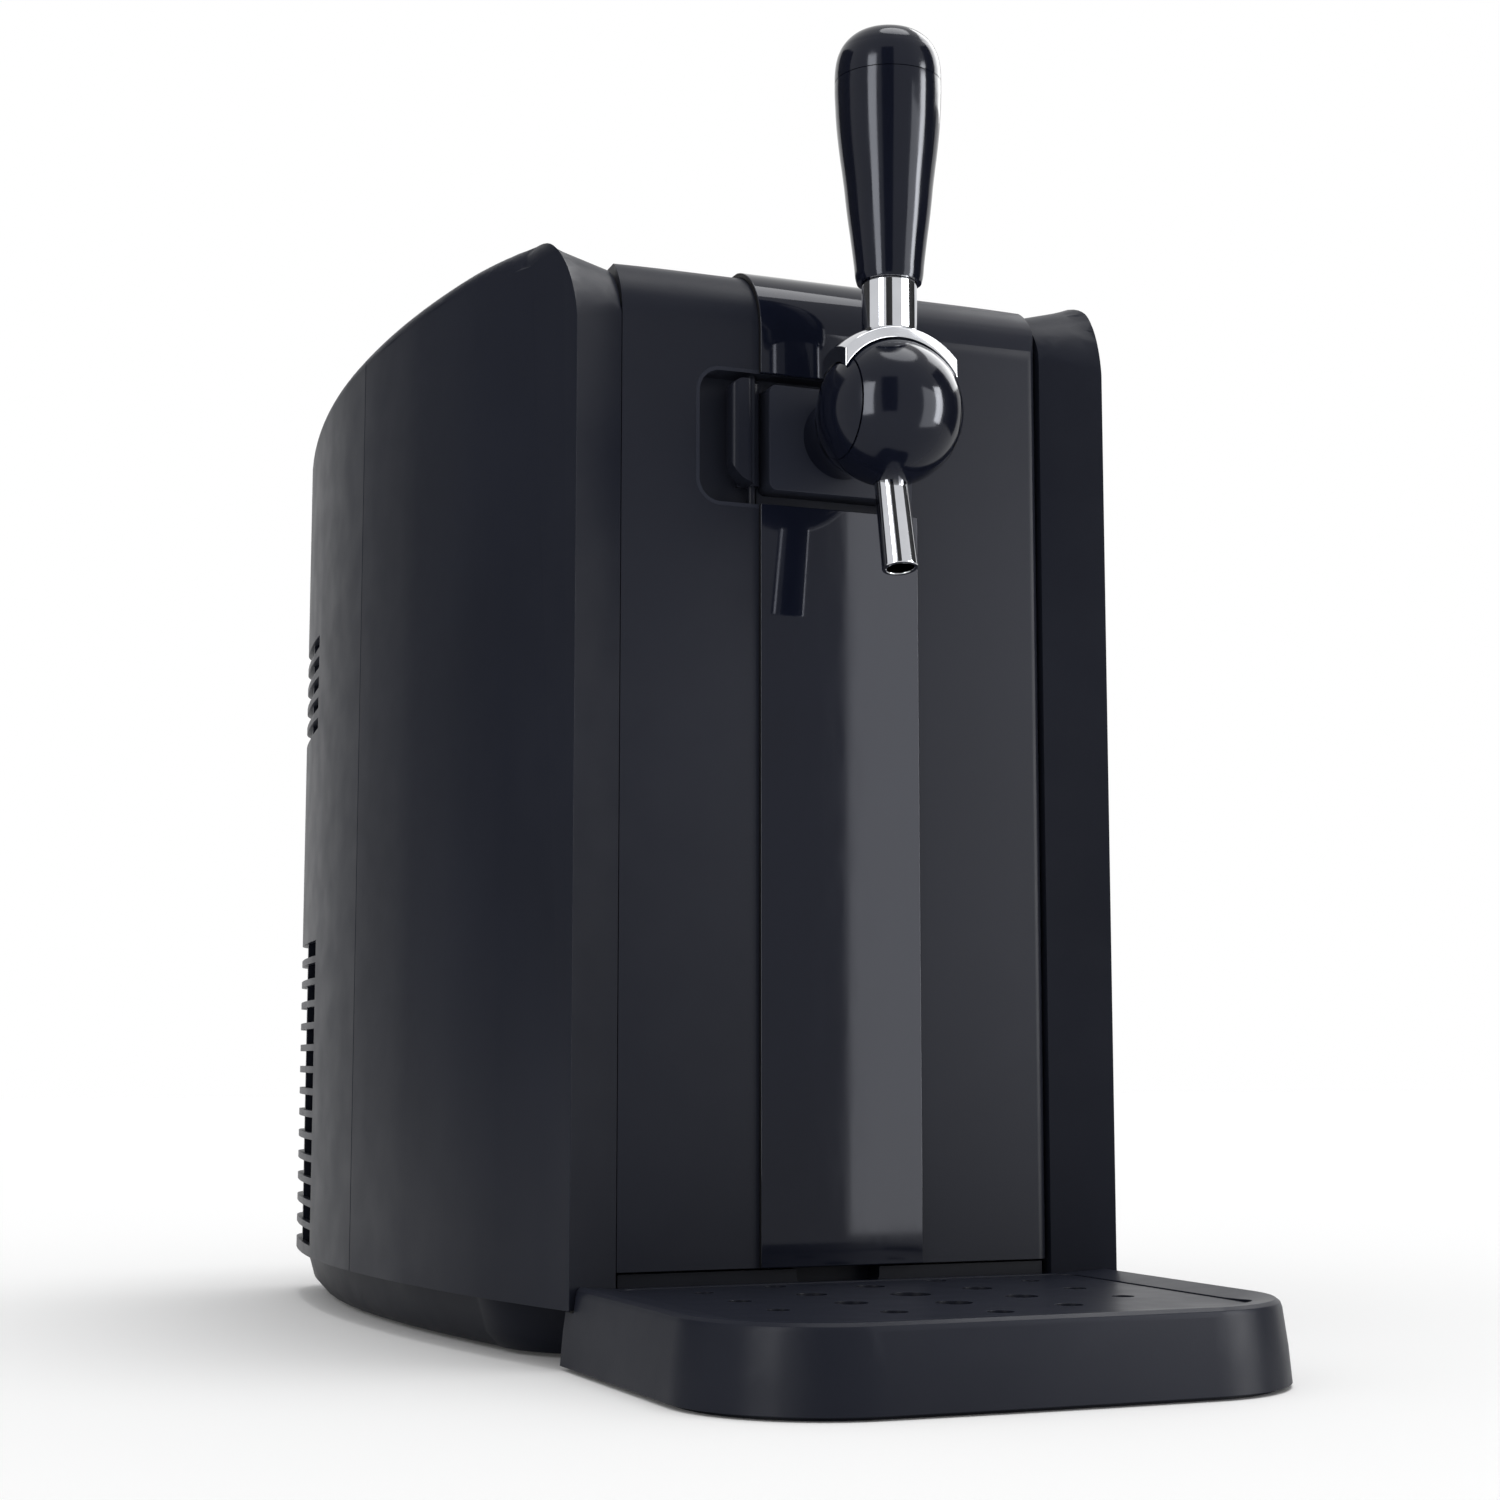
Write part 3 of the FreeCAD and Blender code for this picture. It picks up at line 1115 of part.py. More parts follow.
pump_x = 62.0
pump_y = crease_y + 225.0
pump_z = deck + 24.0
pump_body = cylinder(17.0, Vec(pump_x, pump_y + 26, pump_z), Y_AXIS, 44)
pump_head = rounded(box(pump_x - 19, pump_x + 19, pump_y, pump_y + 26, deck + 5, deck + 43), 6.0, Y_AXIS)
pump_foot = box(pump_x - 24, pump_x + 24, pump_y + 4, pump_y + 66, deck, deck + 5.5)
saddle_block = box(pump_x - 12, pump_x + 12, pump_y + 40, pump_y + 52, deck + 3, pump_z - 10)
port_end = Vec(pump_x, pump_y + 13, deck + 51)
port = cylinder(2.4, Vec(pump_x, pump_y + 13, deck + 40), Z_AXIS, 11)
save("air_pump", fused([pump_body, pump_head, pump_foot, saddle_block, port]))

# The air hose rises from the pump, turns over the foam jacket and meets the gas connector.
hose_radius = 3.6
hose_bend = 16.0
hose_start = port_end - Vec(0, 0, 6)
hose_top = Vec(pump_x, hose_start.y, nozzle_z)
hose_corner = Vec(gas_x, hose_start.y, nozzle_z)
hose_end = nozzle_end - Vec(0, 6, 0)
bend_middle = hose_bend * (1 - math.sqrt(0.5))
first_bend = [hose_top - Vec(0, 0, hose_bend), hose_top - Vec(bend_middle, 0, bend_middle),
              hose_top - Vec(hose_bend, 0, 0)]
second_bend = [hose_corner + Vec(hose_bend, 0, 0), hose_corner + Vec(bend_middle, -bend_middle, 0),
               hose_corner - Vec(0, hose_bend, 0)]
hose_path = Part.Wire([Part.makeLine(hose_start, first_bend[0]), Part.Arc(*first_bend).toShape(),
                       Part.makeLine(first_bend[2], second_bend[0]), Part.Arc(*second_bend).toShape(),
                       Part.makeLine(second_bend[2], hose_end)])
hose_ring = Part.Wire([Part.Circle(hose_start, Z_AXIS, hose_radius).toShape()])
hose = hose_path.makePipeShell([hose_ring], True, False)
hose = hose.cut(cylinder(2.4, port_end - Vec(0, 0, 8), Z_AXIS, 8))
hose = hose.cut(cylinder(2.4, nozzle_end - Vec(0, 8, 0), Y_AXIS, 8))
save("air_hose", hose)
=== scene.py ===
import json
import math
from functools import partial

import bmesh
import bpy
from mathutils import Matrix, Vector


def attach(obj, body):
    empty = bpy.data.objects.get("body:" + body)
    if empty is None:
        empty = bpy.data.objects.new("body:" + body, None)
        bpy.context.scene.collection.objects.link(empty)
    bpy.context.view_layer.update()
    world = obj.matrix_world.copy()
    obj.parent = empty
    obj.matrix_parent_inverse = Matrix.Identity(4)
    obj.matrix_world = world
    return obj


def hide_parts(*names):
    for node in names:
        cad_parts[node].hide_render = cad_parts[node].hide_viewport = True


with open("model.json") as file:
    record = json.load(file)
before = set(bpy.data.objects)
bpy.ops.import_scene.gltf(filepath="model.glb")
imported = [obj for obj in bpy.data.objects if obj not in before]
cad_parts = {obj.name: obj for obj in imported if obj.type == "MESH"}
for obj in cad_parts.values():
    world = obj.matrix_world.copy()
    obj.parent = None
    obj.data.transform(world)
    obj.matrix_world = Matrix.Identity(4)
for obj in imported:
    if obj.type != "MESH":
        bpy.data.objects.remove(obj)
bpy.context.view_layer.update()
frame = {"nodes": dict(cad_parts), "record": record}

# Places that several pieces share, in metres. Front is -Y, up is +Z.
dispenser = {"creaseY": -0.11125, "tapCentre": Vector((0.0, -0.14325, 0.3195)), "ballRadius": 0.0253}
mm = 0.001


# Node helpers

def setInputs(tree, node, inputs):
    # Links or sets each input. A list links several sources to one input.
    for label, value in inputs.items():
        socket = node.inputs[label]
        for source in value if isinstance(value, list) else [value]:
            if isinstance(source, bpy.types.NodeSocket):
                tree.links.new(source, socket)
            else:
                socket.default_value = source


def addNode(tree, kind, inputs=None, **settings):
    # Adds a node, sets its options, then its inputs.
    node = tree.nodes.new(kind)
    for option, value in settings.items():
        setattr(node, option, value)
    setInputs(tree, node, inputs or {})
    return node


def calculate(tree, operation, first, second=0.0):
    return addNode(tree, "ShaderNodeMath", {0: first, 1: second}, operation=operation).outputs[0]


def triple(tree, x=0.0, y=0.0, z=0.0):
    return addNode(tree, "ShaderNodeCombineXYZ", {"X": x, "Y": y, "Z": z}).outputs[0]


# Materials

def startMaterial(name):
    material = bpy.data.materials.new(name)
    material.use_nodes = True
    return material, material.node_tree, material.node_tree.nodes["Principled BSDF"]


def objectCoords(tree, stretch=(1, 1, 1)):
    place = addNode(tree, "ShaderNodeTexCoord").outputs["Object"]
    return addNode(tree, "ShaderNodeMapping", {"Vector": place, "Scale": stretch}).outputs["Vector"]


def addNoise(tree, coords, scale, detail=2.0, roughness=0.5):
    return addNode(tree, "ShaderNodeTexNoise", {
        "Vector": coords, "Scale": scale, "Detail": detail, "Roughness": roughness}).outputs["Fac"]


def spread(tree, value, low, high, fromLow=0.3, fromHigh=0.7):
    return addNode(tree, "ShaderNodeMapRange", {
        "Value": value, "From Min": fromLow, "From Max": fromHigh, "To Min": low, "To Max": high,
    }).outputs["Result"]


def shadeBetween(tree, value, first, second):
    ramp = addNode(tree, "ShaderNodeValToRGB", {"Fac": value})
    for element, position, colour in zip(ramp.color_ramp.elements, (0.35, 0.65), (first, second)):
        element.position = position
        element.color = (*colour, 1)
    return ramp.outputs["Color"]


def shadeAround(tree, value, colour, darkest, palest):
    # The colour, varied between two shares of itself.
    return shadeBetween(tree, value, [channel * darkest for channel in colour],
                        [channel * palest for channel in colour])


def addBump(tree, height, strength, distance):
    return addNode(tree, "ShaderNodeBump", {
        "Height": height, "Strength": strength, "Distance": distance}).outputs["Normal"]


def makePlastic(name, colour, roughness, grain=1400, grainDepth=0.00004, specular=0.4):
    # Moulded plastic: slow colour drift, uneven gloss and a fine spark-eroded grain.
    material, tree, shader = startMaterial(name)
    coords = objectCoords(tree)
    drift = addNoise(tree, coords, scale=9, detail=3)
    cloud = addNoise(tree, coords, scale=60, detail=4)
    setInputs(tree, shader, {
        "Base Color": shadeAround(tree, drift, colour, 0.93, 1.07),
        "Roughness": spread(tree, cloud, roughness - 0.03, roughness + 0.03),
        "Specular IOR Level": specular,
        "Normal": addBump(tree, addNoise(tree, coords, grain), strength=0.35, distance=grainDepth)})
    return material


def makeGloss(name, colour, roughness, specular, tint=(1.0, 1.0, 1.0)):
    # Polished plastic: a deep even colour with faint polishing haze.
    material, tree, shader = startMaterial(name)
    haze = addNoise(tree, objectCoords(tree), scale=35, detail=5)
    wipes = addNoise(tree, objectCoords(tree, (6, 6, 1)), scale=40, detail=4)
    setInputs(tree, shader, {
        "Base Color": shadeAround(tree, haze, colour, 0.95, 1.05),
        "Roughness": spread(tree, wipes, roughness * 0.7, roughness * 1.3),
        "Specular IOR Level": specular, "Specular Tint": (*tint, 1)})
    return material


def makeMetal(name, colour, roughness, stretch=(1, 1, 1), scale=300, depth=0.00001):
    # Bare metal: the stretch draws the grain out along the way it was brushed or turned.
    material, tree, shader = startMaterial(name)
    streaks = addNoise(tree, objectCoords(tree, stretch), scale, detail=4, roughness=0.6)
    setInputs(tree, shader, {
        "Base Color": shadeAround(tree, streaks, colour, 0.94, 1.0),
        "Roughness": spread(tree, streaks, roughness * 0.75, roughness * 1.25),
        "Metallic": 1.0,
        "Normal": addBump(tree, streaks, strength=0.25, distance=depth)})
    return material


def makeRubber(name, colour, roughness=0.75):
    # Rubber or silicone: a cloudy bloom on the surface over a very fine grain.
    material, tree, shader = startMaterial(name)
    coords = objectCoords(tree)
    bloom = addNoise(tree, coords, scale=45, detail=4)
    setInputs(tree, shader, {
        "Base Color": shadeAround(tree, bloom, colour, 0.85, 1.25),
        "Roughness": spread(tree, bloom, roughness - 0.06, roughness + 0.06),
        "Normal": addBump(tree, addNoise(tree, coords, scale=2200), strength=0.4, distance=0.00004)})
    return material


def makeFoam(name, colour):
    # Closed-cell foam: small round cells in both shade and relief.
    material, tree, shader = startMaterial(name)
    cells = addNode(tree, "ShaderNodeTexVoronoi", {
        "Vector": objectCoords(tree), "Scale": 700}).outputs["Distance"]
    setInputs(tree, shader, {
        "Base Color": shadeAround(tree, cells, colour, 0.82, 1.0),
        "Roughness": spread(tree, cells, 0.75, 0.92, fromLow=0.0, fromHigh=1.0),
        "Normal": addBump(tree, cells, strength=0.6, distance=0.0003)})
    return material


def makeCircuit(name):
    # Board lacquer low down, dark and pale component bodies above it.
    material, tree, shader = startMaterial(name)
    place = addNode(tree, "ShaderNodeTexCoord").outputs["Object"]
    height = addNode(tree, "ShaderNodeSeparateXYZ", {"Vector": place}).outputs["Z"]
    tracks = addNode(tree, "ShaderNodeTexBrick", {
        "Vector": place, "Scale": 240, "Mortar Size": 0.012, "Mortar": (0.045, 0.16, 0.08, 1),
        "Color1": (0.012, 0.075, 0.035, 1), "Color2": (0.016, 0.095, 0.045, 1)})
    chips = addNoise(tree, place, scale=60, detail=1)
    blend = addNode(tree, "ShaderNodeMix", {
        "Factor": spread(tree, height, 0, 1, fromLow=0.36745, fromHigh=0.3676),
        "A": tracks.outputs["Color"],
        "B": shadeBetween(tree, chips, (0.012, 0.012, 0.013), (0.04, 0.04, 0.042))}, data_type="RGBA")
    setInputs(tree, shader, {
        "Base Color": blend.outputs["Result"], "Roughness": spread(tree, chips, 0.32, 0.5),
        "Normal": addBump(tree, tracks.outputs["Fac"], strength=0.3, distance=0.00005)})
    return material


finishes = {
    "body": makePlastic("navyCasingPlastic", (0.0150, 0.0170, 0.0260), 0.38, specular=0.07),
    "base": makePlastic("darkBasePlastic", (0.0105, 0.0120, 0.0185), 0.42, specular=0.06),
    # A lighter copy of the casing plastic for the pull's pocket and the tap carrier: painted light that lifts
    # the shade inside the door's recess.
    "recessPaintedLight": makePlastic("recessPaintedLightPlastic", (0.024, 0.027, 0.040), 0.42, specular=0.08),
    "gloss": makeGloss("pianoNavyGloss", (0.0062, 0.0078, 0.0160), 0.05, 0.2, (0.90, 0.92, 1.0)),
    "tapGloss": makeGloss("tapNavyGloss", (0.0060, 0.0074, 0.0150), 0.12, 0.22, (0.88, 0.91, 1.0)),
    "chrome": makeMetal("polishedChrome", (0.56, 0.57, 0.60), 0.05, (1, 1, 1), 120, 0.000002),
    "stainless": makeMetal("brushedStainless", (0.52, 0.52, 0.54), 0.28, (40, 1, 1), 60, 0.00002),
    "zinc": makeMetal("zincPlate", (0.46, 0.46, 0.49), 0.34, (1, 1, 1), 500, 0.00001),
    "aluminium": makeMetal("extrudedAluminium", (0.66, 0.67, 0.69), 0.32, (30, 30, 1), 60, 0.00002),
    "liner": makePlastic("paleLinerPlastic", (0.50, 0.52, 0.54), 0.38, 700, 0.00003),
    "foam": makeFoam("creamJacketFoam", (0.72, 0.69, 0.60)),
    "rubber": makeRubber("sealRubber", (0.014, 0.014, 0.016)),
    "hose": makeRubber("siliconeHose", (0.60, 0.61, 0.59), 0.42),
    "window": makeGloss("smokedWindow", (0.006, 0.007, 0.011), 0.05, 0.3),
    "screen": makeGloss("displayModule", (0.020, 0.030, 0.042), 0.12, 0.4),
    "circuit": makeCircuit("controlBoardLacquer"),
    "ceramic": makePlastic("firedCeramic", (0.76, 0.76, 0.74), 0.55, 300, 0.00002),
    "magnet": makeMetal("sinteredMagnet", (0.16, 0.16, 0.17), 0.45, (1, 1, 1), 900, 0.00002),
    "brass": makeMetal("turnedBrass", (0.66, 0.50, 0.25), 0.22, (1, 1, 40), 80, 0.00001),
    "black": makePlastic("blackServicePlastic", (0.010, 0.010, 0.011), 0.45, specular=0.2),
    "pump": makePlastic("pumpEnamel", (0.10, 0.11, 0.13), 0.35, 500, 0.00003),
    "supply": makeMetal("galvanisedSheet", (0.42, 0.43, 0.45), 0.4, (1, 1, 1), 90, 0.00001),
}
print("materials ready:", len(finishes))


# Mesh helpers. Lengths in metres, angles in degrees.

meshing = {"weld": 0.000004, "join": 0.000001, "onAxis": 1e-7, "flat": 1.2, "eased": 30, "easedSharp": 34,
           "sharp": 32}
slotOf = {part["node"]: part["material_slot"] for part in frame["record"]["subparts"]}
bodyOf = {node: body for body, nodes in frame["record"]["behaviour"]["bodies"].items() for node in nodes}


def addObject(name, data):
    made = bpy.data.objects.new(name, data)
    bpy.context.scene.collection.objects.link(made)
    return made


def settle(holder, name):
    # Turns an object's live modifiers into a plain mesh.
    evaluated = holder.evaluated_get(bpy.context.evaluated_depsgraph_get())
    mesh = bpy.data.meshes.new_from_object(evaluated)
    old = holder.data
    bpy.data.objects.remove(holder)
    if old.users == 0:
        bpy.data.meshes.remove(old)
    mesh.name = name
    return mesh


def evened(mesh, name):
    # Weighs the normals by face area, so that a large face stays flat beside its rounded edges.
    holder = addObject(name + "Holder", mesh)
    holder.modifiers.new("evenNormals", "WEIGHTED_NORMAL").keep_sharp = True
    return settle(holder, name)


def addPiece(name, mesh, finish, node, sharpAngle=meshing["sharp"]):
    # A visible piece that stands for a CAD node and rides on its body. Edges past the angle stay sharp.
    work = bmesh.new()
    work.from_mesh(mesh)
    for face in work.faces:
        face.smooth = True
    for edge in work.edges:
        if len(edge.link_faces) == 2:
            edge.smooth = edge.calc_face_angle(0) < math.radians(sharpAngle)
    work.to_mesh(mesh)
    work.free()
    piece = addObject(name, evened(mesh, name))
    piece.data.materials.clear()
    piece.data.materials.append(finishes[finish])
    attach(piece, bodyOf[node])
    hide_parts(node)
    return piece


def meshOf(name, work, turnOut=True):
    if turnOut:
        bmesh.ops.recalc_face_normals(work, faces=work.faces)
    mesh = bpy.data.meshes.new(name)
    work.to_mesh(mesh)
    work.free()
    return mesh


def joinedMesh(name, meshes):
    work = bmesh.new()
    for mesh in meshes:
        work.from_mesh(mesh)
    return meshOf(name, work, False)


def welded(mesh):
    work = bmesh.new()
    work.from_mesh(mesh)
    bmesh.ops.remove_doubles(work, verts=work.verts, dist=meshing["weld"])
    return work


def beveled(mesh, width, segments, angle=None):
    # Rounds the edges past an angle or, without one, by the weights that the mesh carries.
    holder = addObject(mesh.name + "Holder", mesh)
    bevel = holder.modifiers.new("ease", "BEVEL")
    bevel.width = width
    bevel.segments = segments
    bevel.limit_method = "ANGLE" if angle else "WEIGHT"
    if angle:
        bevel.angle_limit = math.radians(angle)
    return settle(holder, mesh.name)


def carved(mesh, cutter, name):
    # Takes the cutter's form away from the mesh.
    holder, knife = addObject(name + "Carving", mesh), addObject(name + "Knife", cutter)
    cut = holder.modifiers.new("cut", "BOOLEAN")
    cut.operation = "DIFFERENCE"
    cut.solver = "EXACT"
    cut.object = knife
    result = settle(holder, name)
    bpy.data.objects.remove(knife)
    bpy.data.meshes.remove(cutter)
    return result


def easePiece(name, node, width, finish, segments=2, wide=(), shaping=None, cutter=None):
    # A piece made from a welded copy of a CAD node with its edges eased. Each test in wide gives some edges
    # another round, shaping moves the points first, and a cutter takes a form away.
    work = welded(frame["nodes"][node].data)
    if shaping:
        for vertex in work.verts:
            vertex.co = shaping(vertex.co)
    if cutter:
        work = welded(carved(meshOf(node + "Welded", work, False), cutter, node + "Carved"))
    bmesh.ops.dissolve_limit(work, angle_limit=math.radians(meshing["flat"]), verts=work.verts,
                             edges=work.edges)
    widest = max([width] + [size for size, test in wide])
    weights = work.edges.layers.float.new("bevel_weight_edge")
    for edge in work.edges:
        if len(edge.link_faces) == 2 and edge.calc_face_angle(0) > math.radians(meshing["eased"]):
            edge[weights] = ([width] + [size for size, test in wide if test(edge)])[-1] / widest
    mesh = evened(beveled(meshOf(node + "Eased", work, False), widest, segments), node + "Soft")
    return addPiece(name, mesh, finish, node, meshing["easedSharp"])


def prismMesh(name, outline, place):
    # A closed prism: the outline's points at the two depths that place gives.
    work = bmesh.new()
    rings = [[work.verts.new(place(first, second, end)) for first, second in outline] for end in (0, 1)]
    work.faces.new(rings[0])
    work.faces.new(rings[1])
    for index in range(len(outline)):
        after = (index + 1) % len(outline)
        work.faces.new((rings[0][index], rings[0][after], rings[1][after], rings[1][index]))
    return meshOf(name, work)


def turnedMesh(name, profile, centre, direction, steps=96):
    # Revolves (along, radius) points about a direction through the centre.
    direction = Vector(direction).normalized()
    side = direction.orthogonal().normalized()
    across = direction.cross(side)
    work = bmesh.new()
    rings = []
    for along, radius in profile:
        if radius < meshing["onAxis"]:
            rings.append([work.verts.new(centre + direction * along)])
            continue
        ring = []
        for step in range(steps):
            angle = 2 * math.pi * step / steps
            ring.append(work.verts.new(centre + direction * along
                                       + (side * math.cos(angle) + across * math.sin(angle)) * radius))
        rings.append(ring)
    for lower, upper in zip(rings, rings[1:]):
        if len(lower) == 1 and len(upper) == 1:
            continue
        for step in range(steps):
            after = (step + 1) % steps
            if len(lower) == 1:
                work.faces.new((lower[0], upper[step], upper[after]))
            elif len(upper) == 1:
                work.faces.new((lower[step], upper[0], lower[after]))
            else:
                work.faces.new((lower[step], upper[step], upper[after], lower[after]))
    return meshOf(name, work)


def filled(profile):
    # Closes a profile at the axis, at both ends.
    return [(profile[0][0], 0.0)] + profile + [(profile[-1][0], 0.0)]


def arcPoints(centreAlong, centreRadius, size, start, end, count):
    # Points of a small fillet, as (along, radius).
    points = []
    for step in range(count + 1):
        angle = math.radians(start + (end - start) * step / count)
        points.append((centreAlong + size * math.cos(angle), centreRadius + size * math.sin(angle)))
    return points


def smoothProfile(points, perSpan=5):
    # A Catmull-Rom line through measured (along, radius) points.
    result = []
    for index in range(len(points) - 1):
        span = [points[min(max(index + shift, 0), len(points) - 1)] for shift in (-1, 0, 1, 2)]
        for step in range(perSpan):
            t = step / perSpan
            result.append(tuple(0.5 * (2 * b + (c - a) * t + (2 * a - 5 * b + 4 * c - d) * t * t
                                       + (3 * b - a - 3 * c + d) * t ** 3) for a, b, c, d in zip(*span)))
    result.append(points[-1])
    return result


def nodesMesh(name, sizes, finish, grow, start=None):
    # Builds a Geometry Nodes tree with the sizes as named inputs, and returns what it makes as a plain mesh.
    tree = bpy.data.node_groups.new(name + "Tree", "GeometryNodeTree")
    tree.interface.new_socket("Geometry", in_out="INPUT", socket_type="NodeSocketGeometry")
    names = {}
    for label, value in sizes.items():
        kind = "NodeSocketInt" if isinstance(value, int) else "NodeSocketFloat"
        names[label] = tree.interface.new_socket(label, in_out="INPUT", socket_type=kind).identifier
    tree.interface.new_socket("Geometry", in_out="OUTPUT", socket_type="NodeSocketGeometry")
    made = grow(tree, addNode(tree, "NodeGroupInput").outputs)
    realized = addNode(tree, "GeometryNodeRealizeInstances", {"Geometry": made}).outputs["Geometry"]
    dressed = addNode(tree, "GeometryNodeSetMaterial", {"Geometry": realized, "Material": finishes[finish]})
    addNode(tree, "NodeGroupOutput", {"Geometry": dressed.outputs["Geometry"]})
    holder = addObject(name + "Maker", start or bpy.data.meshes.new(name + "Start"))
    modifier = holder.modifiers.new("grow", "NODES")
    modifier.node_group = tree
    for label, value in sizes.items():
        modifier[names[label]] = value
    return settle(holder, name)


def thickened(tree, sheet, depth):
    # Gives an open sheet its thickness and closes it on the other side.
    raised = addNode(tree, "GeometryNodeExtrudeMesh", {
        "Mesh": sheet, "Offset Scale": depth, "Individual": False})
    under = addNode(tree, "GeometryNodeFlipFaces", {"Mesh": sheet})
    both = addNode(tree, "GeometryNodeJoinGeometry", {
        "Geometry": [raised.outputs["Mesh"], under.outputs["Mesh"]]})
    return addNode(tree, "GeometryNodeMergeByDistance", {
        "Geometry": both.outputs["Geometry"], "Distance": meshing["join"]}).outputs["Geometry"]


# Casing
casing = {
    "edges": {"side_shell_left": 0.0006, "side_shell_right": 0.0006, "rear_cover": 0.0003,
              "top_cover": 0.0005, "base_plinth": 0.0008, "front_sill": 0.0005, "chamber_frame": 0.0005},
    "finish": {"base_plinth": "base", "front_sill": "base", "chamber_frame": "liner"},
    "creaseRound": 0.0022, "creaseNear": 0.0012, "creaseLeast": 0.02, "creaseX": 0.098,
    "gapRound": 0.00015, "gapNear": 0.0012, "gapRear": -0.08,
}
wing = {
    "innerX": 0.0822, "faceY": -0.09975, "reach": 0.0197, "crownEdge": 0.3792, "rise": 0.0076,
    "spread": 0.028, "dishX": 0.0817, "doorRoll": 0.026, "creaseRoll": 0.040, "fade": 0.085,
    "fadeSpan": 0.05, "gapTaken": 0.0003, "near": 0.0005, "touch": 0.0001, "above": 0.004,
}


def isCrease(edge):
    # The long upright edge where a side meets the sloping front of its wing.
    for vertex in edge.verts:
        away = abs(vertex.co.y - dispenser["creaseY"])
        if away > casing["creaseNear"] or abs(vertex.co.x) < casing["creaseX"]:
            return False
    return abs(edge.verts[0].co.z - edge.verts[1].co.z) > casing["creaseLeast"]


def besideDoor(edge):
    # An edge of the thin gap between the door and a wing.
    return all(abs(abs(vertex.co.x) - wing["innerX"]) < casing["gapNear"]
               and vertex.co.y < casing["gapRear"] for vertex in edge.verts)


def clamped(share):
    return min(1.0, max(0.0, share))


def rollGrowth(distance, roll):
    # How far a point moves out from the corner: most where the roll ends, then fading to nothing.
    distance = max(distance, 0.0)
    if distance >= wing["fade"]:
        return 0.0
    if distance <= wing["doorRoll"]:
        return distance * roll / wing["doorRoll"] - distance
    share = (distance - wing["doorRoll"]) / (wing["fade"] - wing["doorRoll"])
    return roll + (wing["fade"] - roll) * share - distance


def shapeWing(point):
    # The wing's top corner rolls back, with a radius that grows from the door's own to the crease's.
    side = abs(point.x)
    if (wing["innerX"] - wing["near"] < side < wing["innerX"] + wing["touch"]
            and point.y < wing["faceY"] + wing["near"]):
        side -= wing["gapTaken"]
    along = clamped((abs(point.x) - wing["innerX"]) / wing["reach"])
    front = wing["faceY"] + (dispenser["creaseY"] - wing["faceY"]) * along
    roof = wing["crownEdge"] + wing["rise"] * clamped((abs(point.x) - wing["dishX"]) / wing["spread"])
    roll = wing["doorRoll"] + (wing["creaseRoll"] - wing["doorRoll"]) * along
    back, down = point.y - front, roof - point.z
    moved = point.copy()
    moved.x = math.copysign(side, point.x)
    if -wing["touch"] < back < wing["fade"] and -wing["above"] < down < wing["fade"]:
        share = clamped(1.0 - (max(back, down) - wing["doorRoll"]) / wing["fadeSpan"])
        moved.y = front + back + rollGrowth(back, roll) * share
        moved.z = roof - down - rollGrowth(down, roll) * share
    return moved


for node, width in casing["edges"].items():
    isShell = node.startswith("side_shell")
    easePiece(node.replace("_", "") + "Skin", node, width, casing["finish"].get(node, "body"), 3,
              [(casing["creaseRound"], isCrease), (casing["gapRound"], besideDoor)] if isShell else (),
              shapeWing if isShell else None)
print("casing ready")

# Door
door = {"freeEdge": -0.0805, "gapTaken": 0.0003, "edge": 0.0005, "finEdge": 0.0007, "stripEdge": 0.0004,
        "finLeft": -0.042, "finCorners": [(0.0045, 0.338, 1), (0.0085, 0.301, -1)],
        "finDepth": (-0.112, -0.094), "finClear": 0.002, "finSteps": 8, "paintedShadeFacing": 0.8}


def widenDoor(point):
    # The free edge comes nearer to the wing, which leaves the thin gap of the closed door.
    moved = point.copy()
    if point.x < door["freeEdge"]:
        moved.x -= door["gapTaken"]
    return moved


def finCutter():
    # Rounds the outer corners of the pull in front view. Each corner has its radius, level and way up.
    left, clear = door["finLeft"], door["finClear"]
    corners = []
    for radius, level, turn in door["finCorners"]:
        outline = [(left - clear, level + turn * clear), (left - clear, level - turn * radius)]
        for step in range(door["finSteps"] + 1):
            angle = math.radians(180 - 90 * step / door["finSteps"])
            outline.append((left + radius + radius * math.cos(angle),
                            level - turn * radius + turn * radius * math.sin(angle)))
        outline.append((left + radius, level + turn * clear))
        corners.append(prismMesh("finCorner", outline,
                                 lambda x, z, end: Vector((x, door["finDepth"][end], z))))
    return joinedMesh("finCorners", corners)


easePiece("doorSkin", "door_panel", door["edge"], "body", wide=[(casing["gapRound"], besideDoor)],
          shaping=widenDoor)
stripPiece = easePiece("stripSkin", "centre_strip", door["stripEdge"], "gloss", segments=3)
# The strip's side walls take the black plastic: painted shade, a dark line along the strip where it stands
# off the door.
stripPiece.data.materials.append(finishes["black"])
for face in stripPiece.data.polygons:
    if abs(face.normal.x) > door["paintedShadeFacing"]:
        face.material_index = 1
# The pocket and the carrier take the lighter recess plastic: painted light against the shade in the recess.
easePiece("pocketShell", "handle_pocket", door["edge"], "recessPaintedLight")
easePiece("carrierBlock", "tap_carrier", door["edge"], "recessPaintedLight")
easePiece("pullFin", "door_handle", door["finEdge"], "body", segments=3, cutter=finCutter())
print("door ready")

